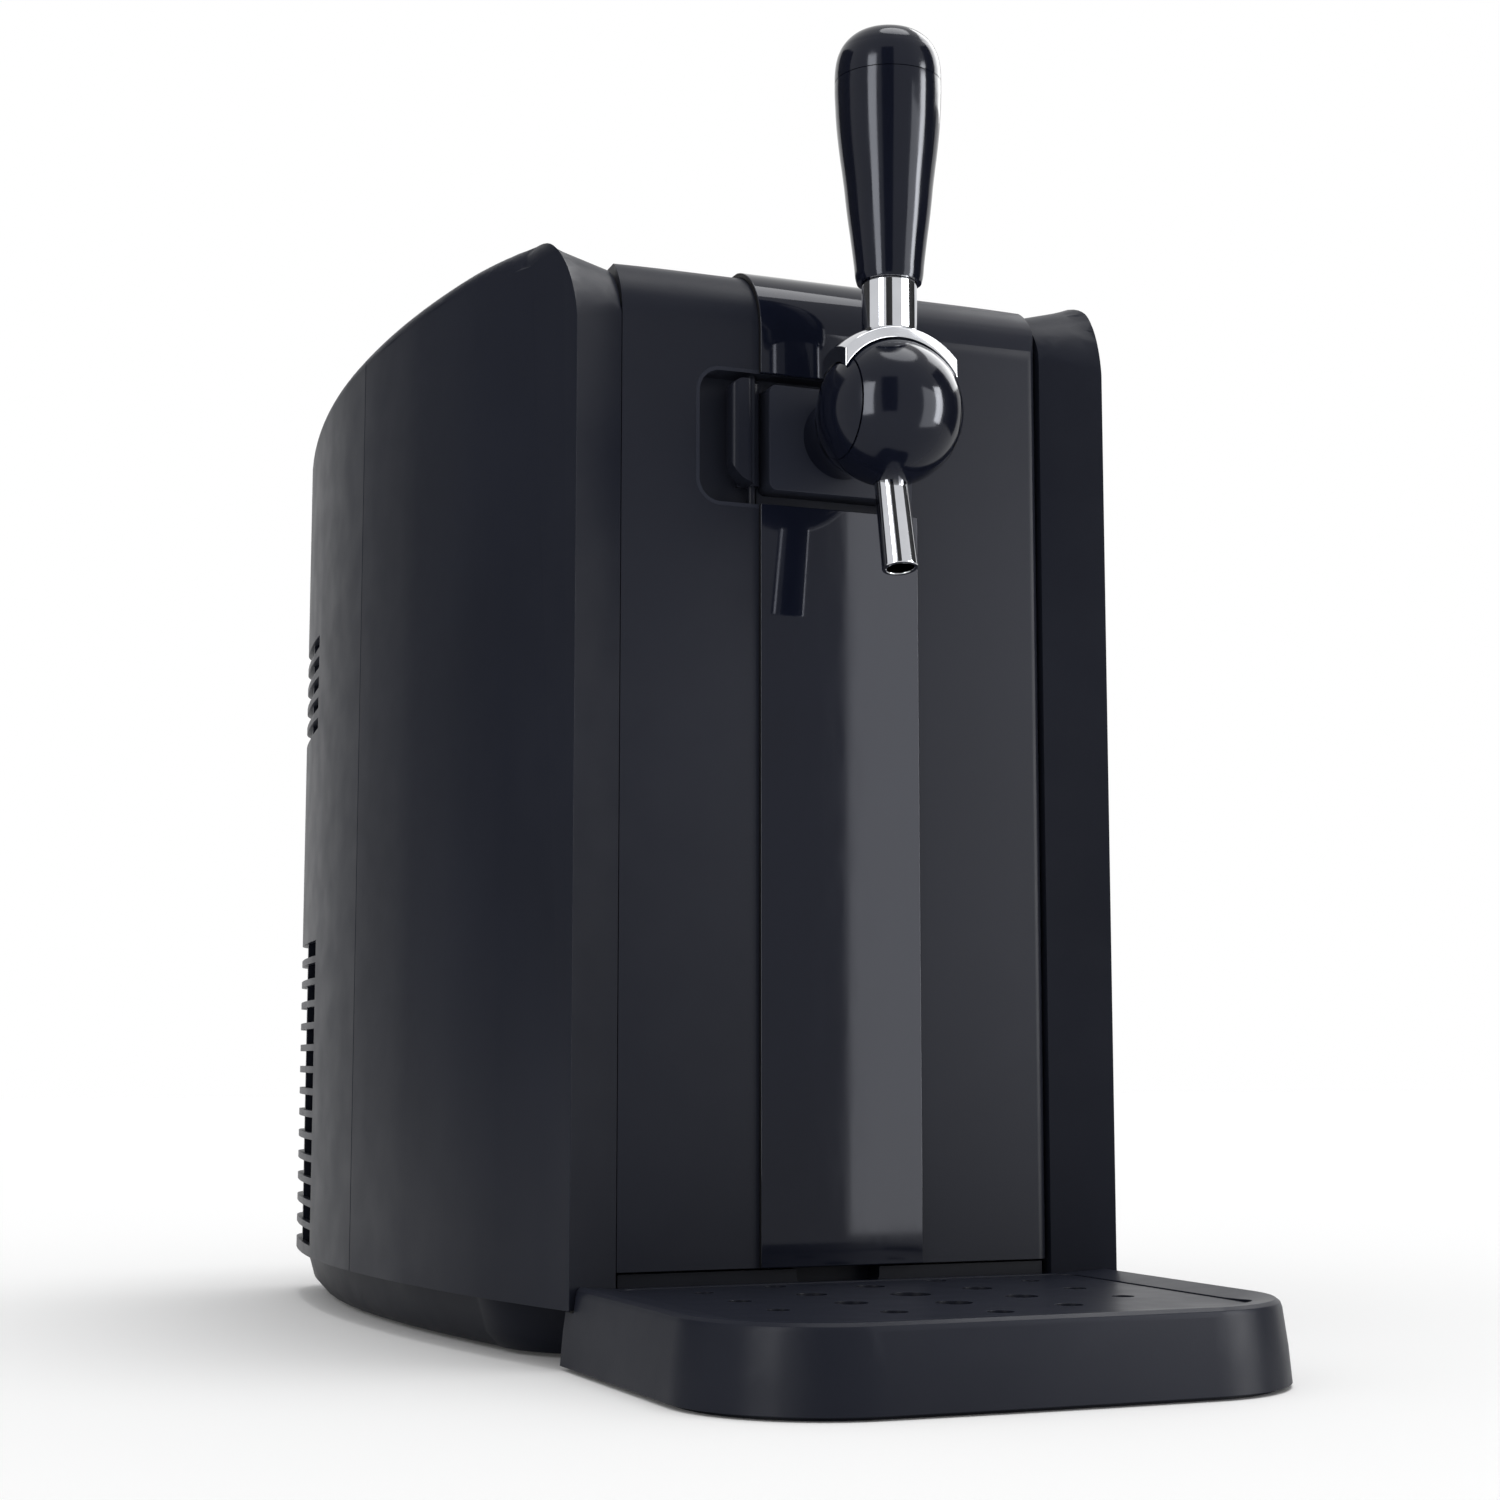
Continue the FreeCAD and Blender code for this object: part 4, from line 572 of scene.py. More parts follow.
# Tap. Profiles are (along, radius) points.
tap = {
    "capSeam": 0.0182, "seamHalf": 0.00022, "bandDepth": 0.0012, "bandSteps": 60, "capDepth": 0.0010,
    "capSteps": 24, "slotHalf": 0.0034,
    "slotOutline": [(-0.0062, 0.012), (0.0062, 0.012), (0.0122, 0.040), (-0.0122, 0.040)],
    "neckRoot": [(0.0106, 0.0222)], "neckEnd": [(0.0405, 0.0146)],
    "neckPoints": [(0.0108, 0.0225), (0.0140, 0.0215), (0.0190, 0.0192), (0.0250, 0.0168),
                   (0.0310, 0.0152), (0.0360, 0.0146), (0.0400, 0.0146)],
}
spout = {
    "root": Vector((0.0, -0.14415, 0.2931)), "tilt": math.radians(12.3),
    "wall": [(-0.0045, 0.0047), (-0.0045, 0.0057), (0.0, 0.00575), (0.0280, 0.00617)],
    "outerLip": (0.0292, 0.0057, 0.0005, 90, 0, 5), "tip": [(0.0297, 0.0051)],
    "innerLip": (0.0293, 0.0051, 0.0004, 0, -90, 4), "bore": [(0.0280, 0.0047), (-0.0045, 0.0047)],
}
centre = dispenser["tapCentre"]
ballRadius = dispenser["ballRadius"]


def ballBand(low, high, steps):
    # Sphere profile between two distances along its axis.
    first, last = (math.acos(max(-1.0, min(1.0, reach / ballRadius))) for reach in (low, high))
    points = []
    for step in range(steps + 1):
        angle = first + (last - first) * step / steps
        points.append((ballRadius * math.cos(angle), max(0.0, ballRadius * math.sin(angle))))
    return points


seamRadius = math.sqrt(ballRadius ** 2 - tap["capSeam"] ** 2)
bandEdge, capEdge = tap["capSeam"] - tap["seamHalf"], tap["capSeam"] + tap["seamHalf"]
bandRadius = seamRadius - tap["bandDepth"]
bandProfile = ballBand(-bandEdge, bandEdge, tap["bandSteps"])
bandProfile = filled([(-bandEdge, bandRadius)] + bandProfile + [(bandEdge, bandRadius)])
slotKnife = prismMesh("slotKnife", tap["slotOutline"],
                      lambda y, z, end: centre + Vector(((2 * end - 1) * tap["slotHalf"], y, z)))
ballMesh = carved(turnedMesh("tapBall", bandProfile, centre, (1, 0, 0)), slotKnife, "tapBall")
addPiece("tapBall", ballMesh, "tapGloss", "tap_ball")
capProfile = [(capEdge, 0.0), (capEdge, seamRadius - tap["capDepth"])]
capProfile += ballBand(capEdge, ballRadius, tap["capSteps"])
caps = [turnedMesh("cap", capProfile, centre, (side, 0, 0)) for side in (-1, 1)]
addPiece("tapBallCaps", joinedMesh("tapBallCaps", caps), "tapGloss", "ball_caps")

neckProfile = filled(tap["neckRoot"] + smoothProfile(tap["neckPoints"]) + tap["neckEnd"])
addPiece("tapNeck", turnedMesh("tapNeck", neckProfile, centre, (0, 1, 0)), "tapGloss", "tap_housing")

spoutDown = Vector((0.0, -math.sin(spout["tilt"]), -math.cos(spout["tilt"])))
spoutProfile = spout["wall"] + arcPoints(*spout["outerLip"]) + spout["tip"]
spoutProfile += arcPoints(*spout["innerLip"]) + spout["bore"]
addPiece("spoutTube", turnedMesh("spoutTube", spoutProfile, spout["root"], spoutDown), "chrome", "spout")
print("tap body ready")

# Lever: the grip is turned by a rule, its radius following a curve along its length. capPoints are in mm.
grip = {
    "sizes": {"Bottom": 0.3648, "Top": 0.4360, "Widest": 0.0185, "Steps": 110, "Sides": 112},
    "curve": [(0.0, 0.600), (0.033, 0.632), (0.084, 0.651), (0.162, 0.686), (0.240, 0.724), (0.320, 0.765),
              (0.399, 0.800), (0.481, 0.832), (0.561, 0.870), (0.642, 0.911), (0.723, 0.946), (0.802, 0.973),
              (0.883, 0.989), (0.963, 1.0), (1.0, 0.999)],
    "capFoot": (0.4362, 0.0183),
    "capPoints": [(436.3, 18.48), (439.2, 18.45), (442.0, 18.2), (444.2, 17.8), (445.6, 17.4), (446.4, 17.1),
                  (447.8, 16.5), (449.1, 15.7), (450.5, 14.6), (452.0, 13.0), (453.3, 10.9), (454.6, 7.4),
                  (455.7, 3.6), (456.1, 0.0)],
}
leverBase = Vector((centre.x, centre.y, 0.0))


def growGrip(tree, sizes):
    line = addNode(tree, "GeometryNodeCurvePrimitiveLine", {
        "Start": triple(tree, z=sizes["Bottom"]), "End": triple(tree, z=sizes["Top"])})
    fine = addNode(tree, "GeometryNodeResampleCurve", {
        "Curve": line.outputs["Curve"], "Count": sizes["Steps"]})
    along = addNode(tree, "GeometryNodeSplineParameter")
    shape = addNode(tree, "ShaderNodeFloatCurve", {"Value": along.outputs["Factor"]})
    points = shape.mapping.curves[0].points
    points[0].location, points[-1].location = grip["curve"][0], grip["curve"][-1]
    for place, share in grip["curve"][1:-1]:
        points.new(place, share)
    shape.mapping.update()
    thick = addNode(tree, "GeometryNodeSetCurveRadius", {
        "Curve": fine.outputs["Curve"],
        "Radius": calculate(tree, "MULTIPLY", shape.outputs["Value"], sizes["Widest"])})
    ring = addNode(tree, "GeometryNodeCurvePrimitiveCircle", {"Resolution": sizes["Sides"], "Radius": 1.0})
    skin = addNode(tree, "GeometryNodeCurveToMesh", {
        "Curve": thick.outputs["Curve"], "Profile Curve": ring.outputs["Curve"], "Fill Caps": True,
        "Scale": addNode(tree, "GeometryNodeInputRadius").outputs["Radius"]})
    return addNode(tree, "GeometryNodeTransform", {
        "Geometry": skin.outputs["Mesh"], "Translation": leverBase}).outputs["Geometry"]


addPiece("leverGrip", nodesMesh("leverGrip", grip["sizes"], "tapGloss", growGrip), "tapGloss", "handle_grip")
capProfile = [(grip["capFoot"][0], 0.0), grip["capFoot"]]
capProfile += [(z * mm, radius * mm) for z, radius in smoothProfile(grip["capPoints"])]
capMesh = turnedMesh("leverCap", capProfile, leverBase, (0, 0, 1), grip["sizes"]["Sides"])
addPiece("leverCap", capMesh, "tapGloss", "grip_cap")

saddle = {
    "outer": 0.0293, "inner": 0.02575, "halfWidth": 0.021, "halfDepth": 0.010, "columns": 84, "rows": 40,
    "edge": 0.0006, "edgeAngle": 50, "rod": 0.0028, "rodFrom": 0.013, "rodTo": 0.0262,
    "rodLean": math.radians(13.0), "stem": 0.0095, "stemTop": 0.3652, "stemInset": 0.0002, "stemSunk": 0.0003,
    "footRound": [(0.0005, 0.0001), (0.0011, 0.0)],
    "topRound": [(-0.0006, 0.0), (-0.0002, -0.0004), (0.0, -0.0009)],
}


def sphereHeight(radius, x, y):
    return math.sqrt(radius ** 2 - x * x - y * y)


def saddleMesh():
    # The band over the ball: two curved sheets, one grid each, joined round the rim.
    work = bmesh.new()
    columns, rows = saddle["columns"], saddle["rows"]
    spots = {}
    for layer in ("outer", "inner"):
        for column in range(columns + 1):
            for row in range(rows + 1):
                x = saddle["halfWidth"] * (2 * column / columns - 1)
                y = saddle["halfDepth"] * (2 * row / rows - 1)
                z = sphereHeight(saddle[layer], x, y)
                spots[layer, column, row] = work.verts.new(centre + Vector((x, y, z)))
        for column in range(columns):
            for row in range(rows):
                work.faces.new([spots[layer, column + i, row + j]
                                for i, j in ((0, 0), (1, 0), (1, 1), (0, 1))])
    rim = [(column, 0) for column in range(columns)] + [(columns, row) for row in range(rows)]
    rim += [(columns - column, rows) for column in range(columns)] + [(0, rows - row) for row in range(rows)]
    for first, second in zip(rim, rim[1:] + rim[:1]):
        work.faces.new([spots[(layer,) + place] for layer, place in (
            ("outer", first), ("outer", second), ("inner", second), ("inner", first))])
    return meshOf("saddleBand", work)


stemEdge = saddle["halfDepth"] - saddle["stemInset"]
stemFoot = centre.z + sphereHeight(saddle["outer"], stemEdge, 0.0) - saddle["stemSunk"]
stemProfile = [(stemFoot, stemEdge)]
for level, rounding in ((stemFoot, "footRound"), (saddle["stemTop"], "topRound")):
    stemProfile += [(level + rise, saddle["stem"] + out) for rise, out in saddle[rounding]]
rodUp = Vector((0, math.sin(saddle["rodLean"]), math.cos(saddle["rodLean"])))
rodProfile = filled([(saddle["rodFrom"], saddle["rod"]), (saddle["rodTo"], saddle["rod"])])
saddleParts = [beveled(saddleMesh(), saddle["edge"], segments=3, angle=saddle["edgeAngle"]),
               turnedMesh("stem", filled(stemProfile), leverBase, (0, 0, 1)),
               turnedMesh("rod", rodProfile, centre, rodUp, steps=32)]
addPiece("leverSaddle", joinedMesh("leverSaddle", saddleParts), "chrome", "tap_saddle")
print("lever ready")

# Drip tray
cover = {
    "sizes": {"Count": 20, "Per Column": 4, "Pitch X": 0.030, "Pitch Y": 0.031, "Largest Hole": 0.0072,
              "Shrink": 0.055, "Thick": 0.0024},
    "trayEdge": 0.0006, "edge": 0.0005, "edgeAngle": 40, "sharp": 12, "halfWidth": 0.085,
    "front": -0.22725, "rear": -0.1061, "corner": 0.008, "cornerSteps": 10, "low": 0.0226, "sides": 40,
    "middleColumn": 2.0, "middleY": -0.16325, "rearRow": 0.012, "stagger": 0.012, "slip": 0.0005,
    "margin": 0.004, "cornerless": 6.5,
}


def growCover(tree, sizes):
    # Five columns of holes, the second and fourth set back a little, with none at the two front corners.
    # Each hole is smaller the further it lies from the middle of the drips.
    calc = partial(calculate, tree)
    number = addNode(tree, "GeometryNodeInputIndex").outputs["Index"]
    column = calc("FLOOR", calc("DIVIDE", number, sizes["Per Column"]))
    column = calc("SUBTRACT", column, cover["middleColumn"])
    row = calc("MODULO", number, sizes["Per Column"])
    outward = calc("ABSOLUTE", column)
    between = calc("MULTIPLY", calc("COMPARE", outward, 1.0), cover["stagger"])
    start = calc("SUBTRACT", between, calc("MULTIPLY", outward, cover["slip"]))
    x = calc("MULTIPLY", column, sizes["Pitch X"])
    y = calc("SUBTRACT", calc("ADD", start, dispenser["creaseY"] - cover["rearRow"]),
             calc("MULTIPLY", row, sizes["Pitch Y"]))
    fromMiddle = calc("SUBTRACT", y, cover["middleY"])
    away = calc("SQRT", calc("ADD", calc("MULTIPLY", x, x), calc("MULTIPLY", fromMiddle, fromMiddle)))
    radius = calc("SUBTRACT", sizes["Largest Hole"], calc("MULTIPLY", away, sizes["Shrink"]))
    clear = calc("GREATER_THAN", calc("SUBTRACT", y, radius), cover["front"] + cover["margin"])
    placed = calc("LESS_THAN", calc("ADD", calc("MULTIPLY", outward, 2.0), row), cover["cornerless"])
    points = addNode(tree, "GeometryNodePoints", {"Count": sizes["Count"], "Position": triple(tree, x, y)})
    circle = addNode(tree, "GeometryNodeCurvePrimitiveCircle", {"Resolution": cover["sides"], "Radius": 1.0})
    holes = addNode(tree, "GeometryNodeInstanceOnPoints", {
        "Points": points.outputs[0], "Selection": calc("MULTIPLY", clear, placed),
        "Instance": circle.outputs["Curve"], "Scale": triple(tree, radius, radius, radius)})
    plate = addNode(tree, "GeometryNodeCurvePrimitiveQuadrilateral", {
        "Width": 2 * cover["halfWidth"], "Height": cover["rear"] - cover["front"]})
    rounded = addNode(tree, "GeometryNodeFilletCurve", {
        "Curve": plate.outputs["Curve"], "Count": cover["cornerSteps"], "Radius": cover["corner"],
    }, mode="POLY")
    seated = addNode(tree, "GeometryNodeTransform", {
        "Geometry": rounded.outputs["Curve"], "Translation": (0, (cover["front"] + cover["rear"]) / 2, 0)})
    loose = addNode(tree, "GeometryNodeRealizeInstances", {"Geometry": holes.outputs["Instances"]})
    outlines = addNode(tree, "GeometryNodeJoinGeometry", {
        "Geometry": [seated.outputs["Geometry"], loose.outputs["Geometry"]]})
    sheet = addNode(tree, "GeometryNodeFillCurve", {"Curve": outlines.outputs["Geometry"]}, mode="TRIANGLES")
    return addNode(tree, "GeometryNodeTransform", {
        "Geometry": thickened(tree, sheet.outputs["Mesh"], sizes["Thick"]),
        "Translation": (0, 0, cover["low"])}).outputs["Geometry"]


easePiece("trayBody", "drip_tray", cover["trayEdge"], "body", segments=3)
coverMesh = nodesMesh("trayCover", cover["sizes"], "body", growCover)
coverMesh = beveled(coverMesh, cover["edge"], segments=2, angle=cover["edgeAngle"])
addPiece("trayCover", coverMesh, "body", "tray_cover", cover["sharp"])
print("tray ready")

# Fan
fan = {
    "sizes": {"Blades": 7, "Hub": 0.017, "Tip": 0.0418, "Chord": 0.025, "Thick": 0.0018, "Root Pitch": 44.0,
              "Tip Pitch": 32.0},
    "hubFront": Vector((0, 0.13435, 0.190)), "middle": 0.0095, "across": 12, "outward": 14,
    "edge": 0.0005, "edgeAngle": 40,
    "hubPoints": [(0.0, 0.0046), (0.0004, 0.005), (0.016, 0.005), (0.016, 0.016), (0.0003, 0.016),
                  (0.0, 0.0163), (0.0, 0.0175), (0.0005, 0.018), (0.0178, 0.018), (0.0186, 0.0177),
                  (0.019, 0.0169), (0.019, 0.0120), (0.0186, 0.0116)],
}


def growBlades(tree, sizes):
    # One twisted blade on a cylinder grid, then its turns about the shaft.
    calc = partial(calculate, tree)
    grid = addNode(tree, "GeometryNodeMeshGrid", {
        "Size X": 1.0, "Size Y": 1.0, "Vertices X": fan["outward"], "Vertices Y": fan["across"]})
    spot = addNode(tree, "ShaderNodeSeparateXYZ", {
        "Vector": addNode(tree, "GeometryNodeInputPosition").outputs["Position"]})
    share = calc("ADD", spot.outputs["X"], 0.5)
    reach = calc("SUBTRACT", sizes["Tip"], sizes["Hub"])
    radius = calc("ADD", sizes["Hub"], calc("MULTIPLY", share, reach))
    fall = calc("SUBTRACT", sizes["Tip Pitch"], sizes["Root Pitch"])
    pitch = calc("RADIANS", calc("ADD", sizes["Root Pitch"], calc("MULTIPLY", share, fall)))
    chord = calc("MULTIPLY", spot.outputs["Y"], sizes["Chord"])
    turn = calc("DIVIDE", calc("MULTIPLY", chord, calc("COSINE", pitch)), radius)
    depth = calc("MULTIPLY", calc("MULTIPLY", chord, calc("SINE", pitch)), -1.0)
    bent = addNode(tree, "GeometryNodeSetPosition", {
        "Geometry": grid.outputs["Mesh"],
        "Position": triple(tree, calc("MULTIPLY", radius, calc("COSINE", turn)), depth,
                           calc("MULTIPLY", radius, calc("SINE", turn)))})
    points = addNode(tree, "GeometryNodePoints", {"Count": sizes["Blades"]})
    number = addNode(tree, "GeometryNodeInputIndex").outputs["Index"]
    step = calc("DIVIDE", 2 * math.pi, sizes["Blades"])
    return addNode(tree, "GeometryNodeInstanceOnPoints", {
        "Points": points.outputs[0], "Instance": thickened(tree, bent.outputs["Geometry"], sizes["Thick"]),
        "Rotation": triple(tree, y=calc("MULTIPLY", number, step))}).outputs["Instances"]


bladeMesh = nodesMesh("fanBlades", fan["sizes"], "black", growBlades)
bladeMesh = beveled(bladeMesh, fan["edge"], segments=2, angle=fan["edgeAngle"])
bladeMesh.transform(Matrix.Translation(
    fan["hubFront"] + Vector((0, fan["middle"] - fan["sizes"]["Thick"] / 2, 0))))
hubMesh = turnedMesh("fanHub", filled(fan["hubPoints"]), fan["hubFront"], (0, 1, 0), steps=72)
addPiece("fanRotor", joinedMesh("fanRotor", [hubMesh, bladeMesh]), "black", "fan_impeller")

# Heat sink
sink = {
    "sizes": {"Fins": 13, "Reach": 0.0452}, "root": 0.0018, "tip": 0.0013, "near": 0.1010, "far": 0.13075,
    "levels": (0.144, 0.236), "plate": (-0.046, 0.046, 0.09475, 0.10175), "plateEdge": 0.0008,
    "edgeAngle": 40, "notches": 6, "notchDepth": 0.00025, "notchFrom": 0.002, "notchShort": 0.0026,
}


def growFins(tree, sizes):
    # Tapered fins stand along a line, each one an instance of the extruded fin that comes in.
    line = addNode(tree, "GeometryNodeMeshLine", {
        "Count": sizes["Fins"], "Offset": triple(tree, x=sizes["Reach"]),
        "Start Location": triple(tree, x=calculate(tree, "MULTIPLY", sizes["Reach"], -1.0)),
    }, mode="END_POINTS")
    return addNode(tree, "GeometryNodeInstanceOnPoints", {
        "Points": line.outputs["Mesh"], "Instance": sizes["Geometry"]}).outputs["Instances"]


def onSink(x, y, end):
    return Vector((x, y, sink["levels"][end]))


finOutline = [(-sink["root"] / 2, sink["near"])]
for side in (-1, 1):
    stations = range(2 * sink["notches"] + 1)
    for index in (stations if side < 0 else reversed(stations)):
        share = index / (2 * sink["notches"])
        half = sink["root"] / 2 + (sink["tip"] - sink["root"]) / 2 * share - (index % 2) * sink["notchDepth"]
        reach = (sink["far"] - sink["notchShort"] - sink["near"]) * share
        finOutline.append((side * half, sink["near"] + sink["notchFrom"] + reach))
    if side < 0:
        finOutline += [(-sink["tip"] / 4, sink["far"]), (sink["tip"] / 4, sink["far"])]
finOutline.append((sink["root"] / 2, sink["near"]))
finMesh = prismMesh("fin", finOutline, onSink)
finsMesh = nodesMesh("sinkFins", sink["sizes"], "aluminium", growFins, finMesh)
left, right, near, far = sink["plate"]
plateMesh = prismMesh("sinkPlate", [(left, near), (right, near), (right, far), (left, far)], onSink)
sinkParts = [beveled(plateMesh, sink["plateEdge"], segments=2, angle=sink["edgeAngle"]), finsMesh]
addPiece("sinkFins", joinedMesh("sinkFins", sinkParts), "aluminium", "heat_sink")

# Casing screws. Profiles are (along, radius) points; the tip's and the thread's start from their own place.
screws = {
    "sizes": {"Count": 4, "Reach": 0.1082, "Low": 0.060, "Rise": 0.260}, "faceY": 0.07675, "seed": 7,
    "length": 0.018, "firstThread": 0.0014, "pitch": 0.001, "threads": 15,
    "tip": [(0.0, 0.0011), (0.0011, 0.0016)], "thread": [(0.0, 0.00155), (0.0004, 0.002), (0.0006, 0.002)],
    "head": [(-0.0012, 0.0016), (0.0, 0.0016), (0.0, 0.0038), (0.0002, 0.004), (0.0011, 0.004),
             (0.0018, 0.0037), (0.0023, 0.0030), (0.0026, 0.0018)],
    "slotHalf": 0.00045, "slotReach": 0.0023, "slotFloor": 0.0011, "slotRise": 0.003,
}


def growScrews(tree, sizes):
    # One screw at each corner of the rear cover, every one stopped at its own turn.
    calc = partial(calculate, tree)
    number = addNode(tree, "GeometryNodeInputIndex").outputs["Index"]
    side = calc("SUBTRACT", calc("MULTIPLY", calc("MODULO", number, 2.0), 2.0), 1.0)
    level = calc("FLOOR", calc("DIVIDE", number, 2.0))
    height = calc("ADD", sizes["Low"], calc("MULTIPLY", level, sizes["Rise"]))
    points = addNode(tree, "GeometryNodePoints", {
        "Count": sizes["Count"],
        "Position": triple(tree, calc("MULTIPLY", side, sizes["Reach"]), screws["faceY"], height)})
    turn = addNode(tree, "FunctionNodeRandomValue", {"Seed": screws["seed"]}, data_type="FLOAT")
    return addNode(tree, "GeometryNodeInstanceOnPoints", {
        "Points": points.outputs[0], "Instance": sizes["Geometry"],
        "Rotation": triple(tree, y=turn.outputs["Value"])}).outputs["Instances"]


screwProfile = [(-screws["length"] + rise, radius) for rise, radius in screws["tip"]]
for step in range(screws["threads"]):
    along = -screws["length"] + screws["firstThread"] + screws["pitch"] * step
    screwProfile += [(along + rise, radius) for rise, radius in screws["thread"]]
screwProfile = filled(screwProfile + screws["head"])
arm, reachOut = screws["slotHalf"], screws["slotReach"]
quarter = [(arm, arm), (arm, reachOut), (-arm, reachOut)]
crossOutline = []
for turn in range(4):
    crossOutline += quarter
    quarter = [(-y, x) for x, y in quarter]
crossKnife = prismMesh("crossKnife", crossOutline,
                       lambda x, z, end: Vector((x, screws["slotFloor"] + screws["slotRise"] * end, z)))
screwMesh = turnedMesh("screw", screwProfile, Vector((0, 0, 0)), (0, 1, 0), steps=36)
screwMesh = carved(screwMesh, crossKnife, "screw")
screwsMesh = nodesMesh("casingScrews", screws["sizes"], "zinc", growScrews, screwMesh)
addPiece("casingScrews", screwsMesh, "zinc", "casing_screws")
print("cooling parts ready")

# Every CAD node that still shows gets its own finish.
slotFinish = {
    "body_plastic": "body", "base_plastic": "base", "gloss_black": "gloss", "chrome": "chrome",
    "stainless": "stainless", "zinc_steel": "zinc", "aluminium": "aluminium", "liner_plastic": "liner",
    "foam": "foam", "rubber": "rubber", "hose": "hose", "window": "window", "screen": "screen",
    "circuit": "circuit", "ceramic": "ceramic", "magnet": "magnet", "brass": "brass",
    "black_plastic": "black", "pump_metal": "pump", "supply_metal": "supply",
}
for name, node in frame["nodes"].items():
    node.data.materials.clear()
    node.data.materials.append(finishes[slotFinish[slotOf[name]]])

# Stage. Softboxes and flags have their place, the point they face, width and height; a softbox also has
# how bright its face looks.
studio = {
    "floorSize": 12.0, "floorColour": (0.93, 0.93, 0.93, 1), "floorGlow": 0.03, "ambient": 0.66,
    "white": (1, 1, 1, 1), "flagColour": (0.01, 0.01, 0.01, 1),
    "skyPlace": (0.24, -0.06, 1.6), "skyLevel": 0.40, "skyAngle": math.radians(34),
    "lensMm": 61.15, "sensorMm": 36.0, "cameraPlace": (-0.3665, -0.91125, 0.1003),
    "cameraTurn": [math.radians(angle) for angle in (96.93, 0.0, -22.29)],
}
softboxes = {
    "rightFront": ((0.505, -0.65, 0.27), (0.505, 1.0, 0.27), 0.505, 0.66, 4.4),
    "leftStreak": ((-1.10, -0.80, 0.55), (0.0, -0.14, 0.40), 0.40, 1.2, 11.0),
    "rightStreak": ((0.95, -0.80, 0.45), (0.0, -0.14, 0.40), 0.26, 0.9, 21.0),
    "topGlow": ((1.0, 0.30, 1.2), (0.10, -0.05, 0.38), 0.8, 0.8, 4.8),
}
flags = {
    "cameraFlag": ((-0.60, -1.38, 0.7), (0.0, -0.14, 0.35), 0.62, 1.5),
    "rearLeftFlag": ((-1.20, 1.20, 0.7), (-0.13, 0.05, 0.2), 1.5, 1.9),
    "rightFlag": ((1.45, -0.30, 0.75), (-0.09, -0.10, 0.25), 1.1, 1.6),
}


def facing(place, aim):
    return (Vector(aim) - Vector(place)).to_track_quat("-Z", "Y")


def addCard(name, material, width, height, stand=Matrix()):
    # A flat rectangle of the stage.
    mesh = bpy.data.meshes.new(name)
    corners = [(-width / 2, -height / 2, 0), (width / 2, -height / 2, 0), (width / 2, height / 2, 0),
               (-width / 2, height / 2, 0)]
    mesh.from_pydata([stand @ Vector(corner) for corner in corners], [], [(0, 1, 2, 3)])
    mesh.materials.append(material)
    card = addObject(name, mesh)
    return card


def seenDirectly(tree, rays):
    # 1 for a ray of one of these kinds, 0 for any other.
    path = addNode(tree, "ShaderNodeLightPath")
    seen = path.outputs[rays[0]]
    for ray in rays[1:]:
        seen = calculate(tree, "MAXIMUM", seen, path.outputs[ray])
    return seen


def makeFloor():
    material, tree, shader = startMaterial("paleFloor")
    setInputs(tree, shader, {
        "Base Color": studio["floorColour"], "Roughness": 0.9, "Specular IOR Level": 0.1})
    glow = addNode(tree, "ShaderNodeEmission", {"Strength": studio["floorGlow"]})
    lit = addNode(tree, "ShaderNodeAddShader", {0: shader.outputs["BSDF"], 1: glow.outputs["Emission"]})
    mix = addNode(tree, "ShaderNodeMixShader", {
        "Fac": seenDirectly(tree, ["Is Camera Ray", "Is Glossy Ray"]),
        1: shader.outputs["BSDF"], 2: lit.outputs["Shader"]})
    setInputs(tree, tree.nodes["Material Output"], {"Surface": mix.outputs["Shader"]})
    addCard("studioFloor", material, studio["floorSize"], studio["floorSize"])


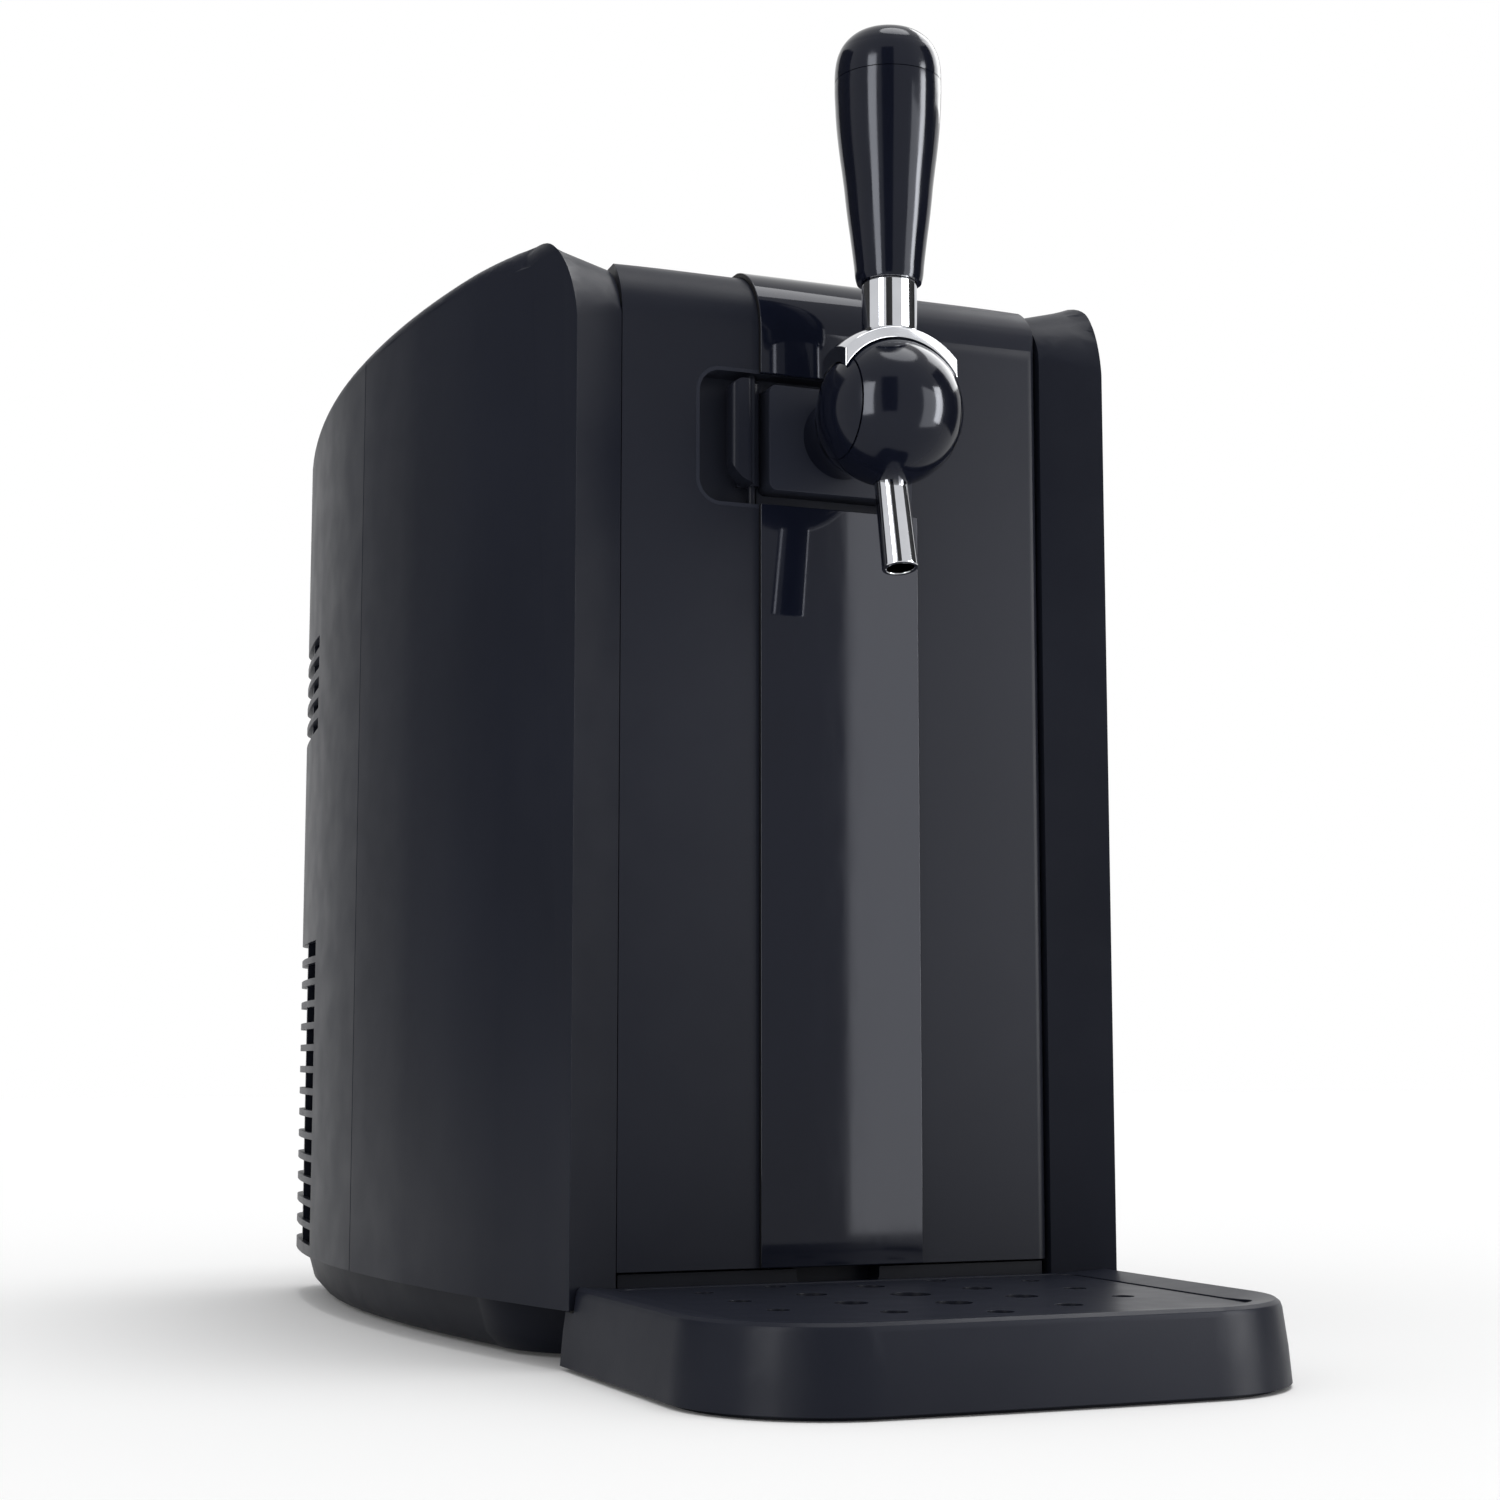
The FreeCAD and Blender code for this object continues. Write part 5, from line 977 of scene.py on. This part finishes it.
def makeWorld():
    world = bpy.data.worlds.new("studio")
    bpy.context.scene.world = world
    world.use_nodes = True
    tree = world.node_tree
    ambient = tree.nodes["Background"]
    setInputs(tree, ambient, {"Color": studio["white"], "Strength": studio["ambient"]})
    backdrop = addNode(tree, "ShaderNodeBackground", {"Color": studio["white"], "Strength": 1.0})
    mix = addNode(tree, "ShaderNodeMixShader", {
        "Fac": seenDirectly(tree, ["Is Camera Ray", "Is Glossy Ray", "Is Transmission Ray"]),
        1: ambient.outputs["Background"], 2: backdrop.outputs["Background"]})
    setInputs(tree, tree.nodes["World Output"], {"Surface": mix.outputs["Shader"]})


def hangLamp(name, lamp, place, aim):
    holder = addObject(name, lamp)
    holder.location = place
    holder.rotation_euler = facing(place, aim).to_euler()
    holder.visible_camera = False
    return holder


def makeSky():
    # An even soft light from above, which reaches the whole floor alike.
    lamp = bpy.data.lights.new("overhead", "SUN")
    lamp.energy = studio["skyLevel"] * math.pi
    lamp.angle = studio["skyAngle"]
    hangLamp("overhead", lamp, studio["skyPlace"], (0, 0, 0))


def makeSoftbox(name, place, aim, width, height, radiance):
    # It only makes reflections. The power is set from how bright its face looks.
    lamp = bpy.data.lights.new(name, "AREA")
    lamp.shape = "RECTANGLE"
    lamp.size = width
    lamp.size_y = height
    lamp.energy = radiance * math.pi * width * height
    hangLamp(name, lamp, place, aim).visible_diffuse = False


def makeFlag(name, place, aim, width, height):
    # A black cloth that only reflections show.
    material, tree, shader = startMaterial(name)
    setInputs(tree, shader, {"Base Color": studio["flagColour"]})
    stand = Matrix.Translation(place) @ facing(place, aim).to_matrix().to_4x4()
    flag = addCard(name, material, width, height, stand)
    flag.visible_camera = False
    flag.visible_diffuse = False
    flag.visible_shadow = False


makeFloor()
makeWorld()
makeSky()
for name, sizes in softboxes.items():
    makeSoftbox(name, *sizes)
for name, sizes in flags.items():
    makeFlag(name, *sizes)

lens = bpy.data.cameras.new("viewCamera")
lens.lens = studio["lensMm"]
lens.sensor_width = studio["sensorMm"]
camera = addObject("viewCamera", lens)
camera.location = studio["cameraPlace"]
camera.rotation_euler = studio["cameraTurn"]
bpy.context.scene.camera = camera
bpy.context.scene.view_settings.view_transform = "Standard"
print("stage ready")
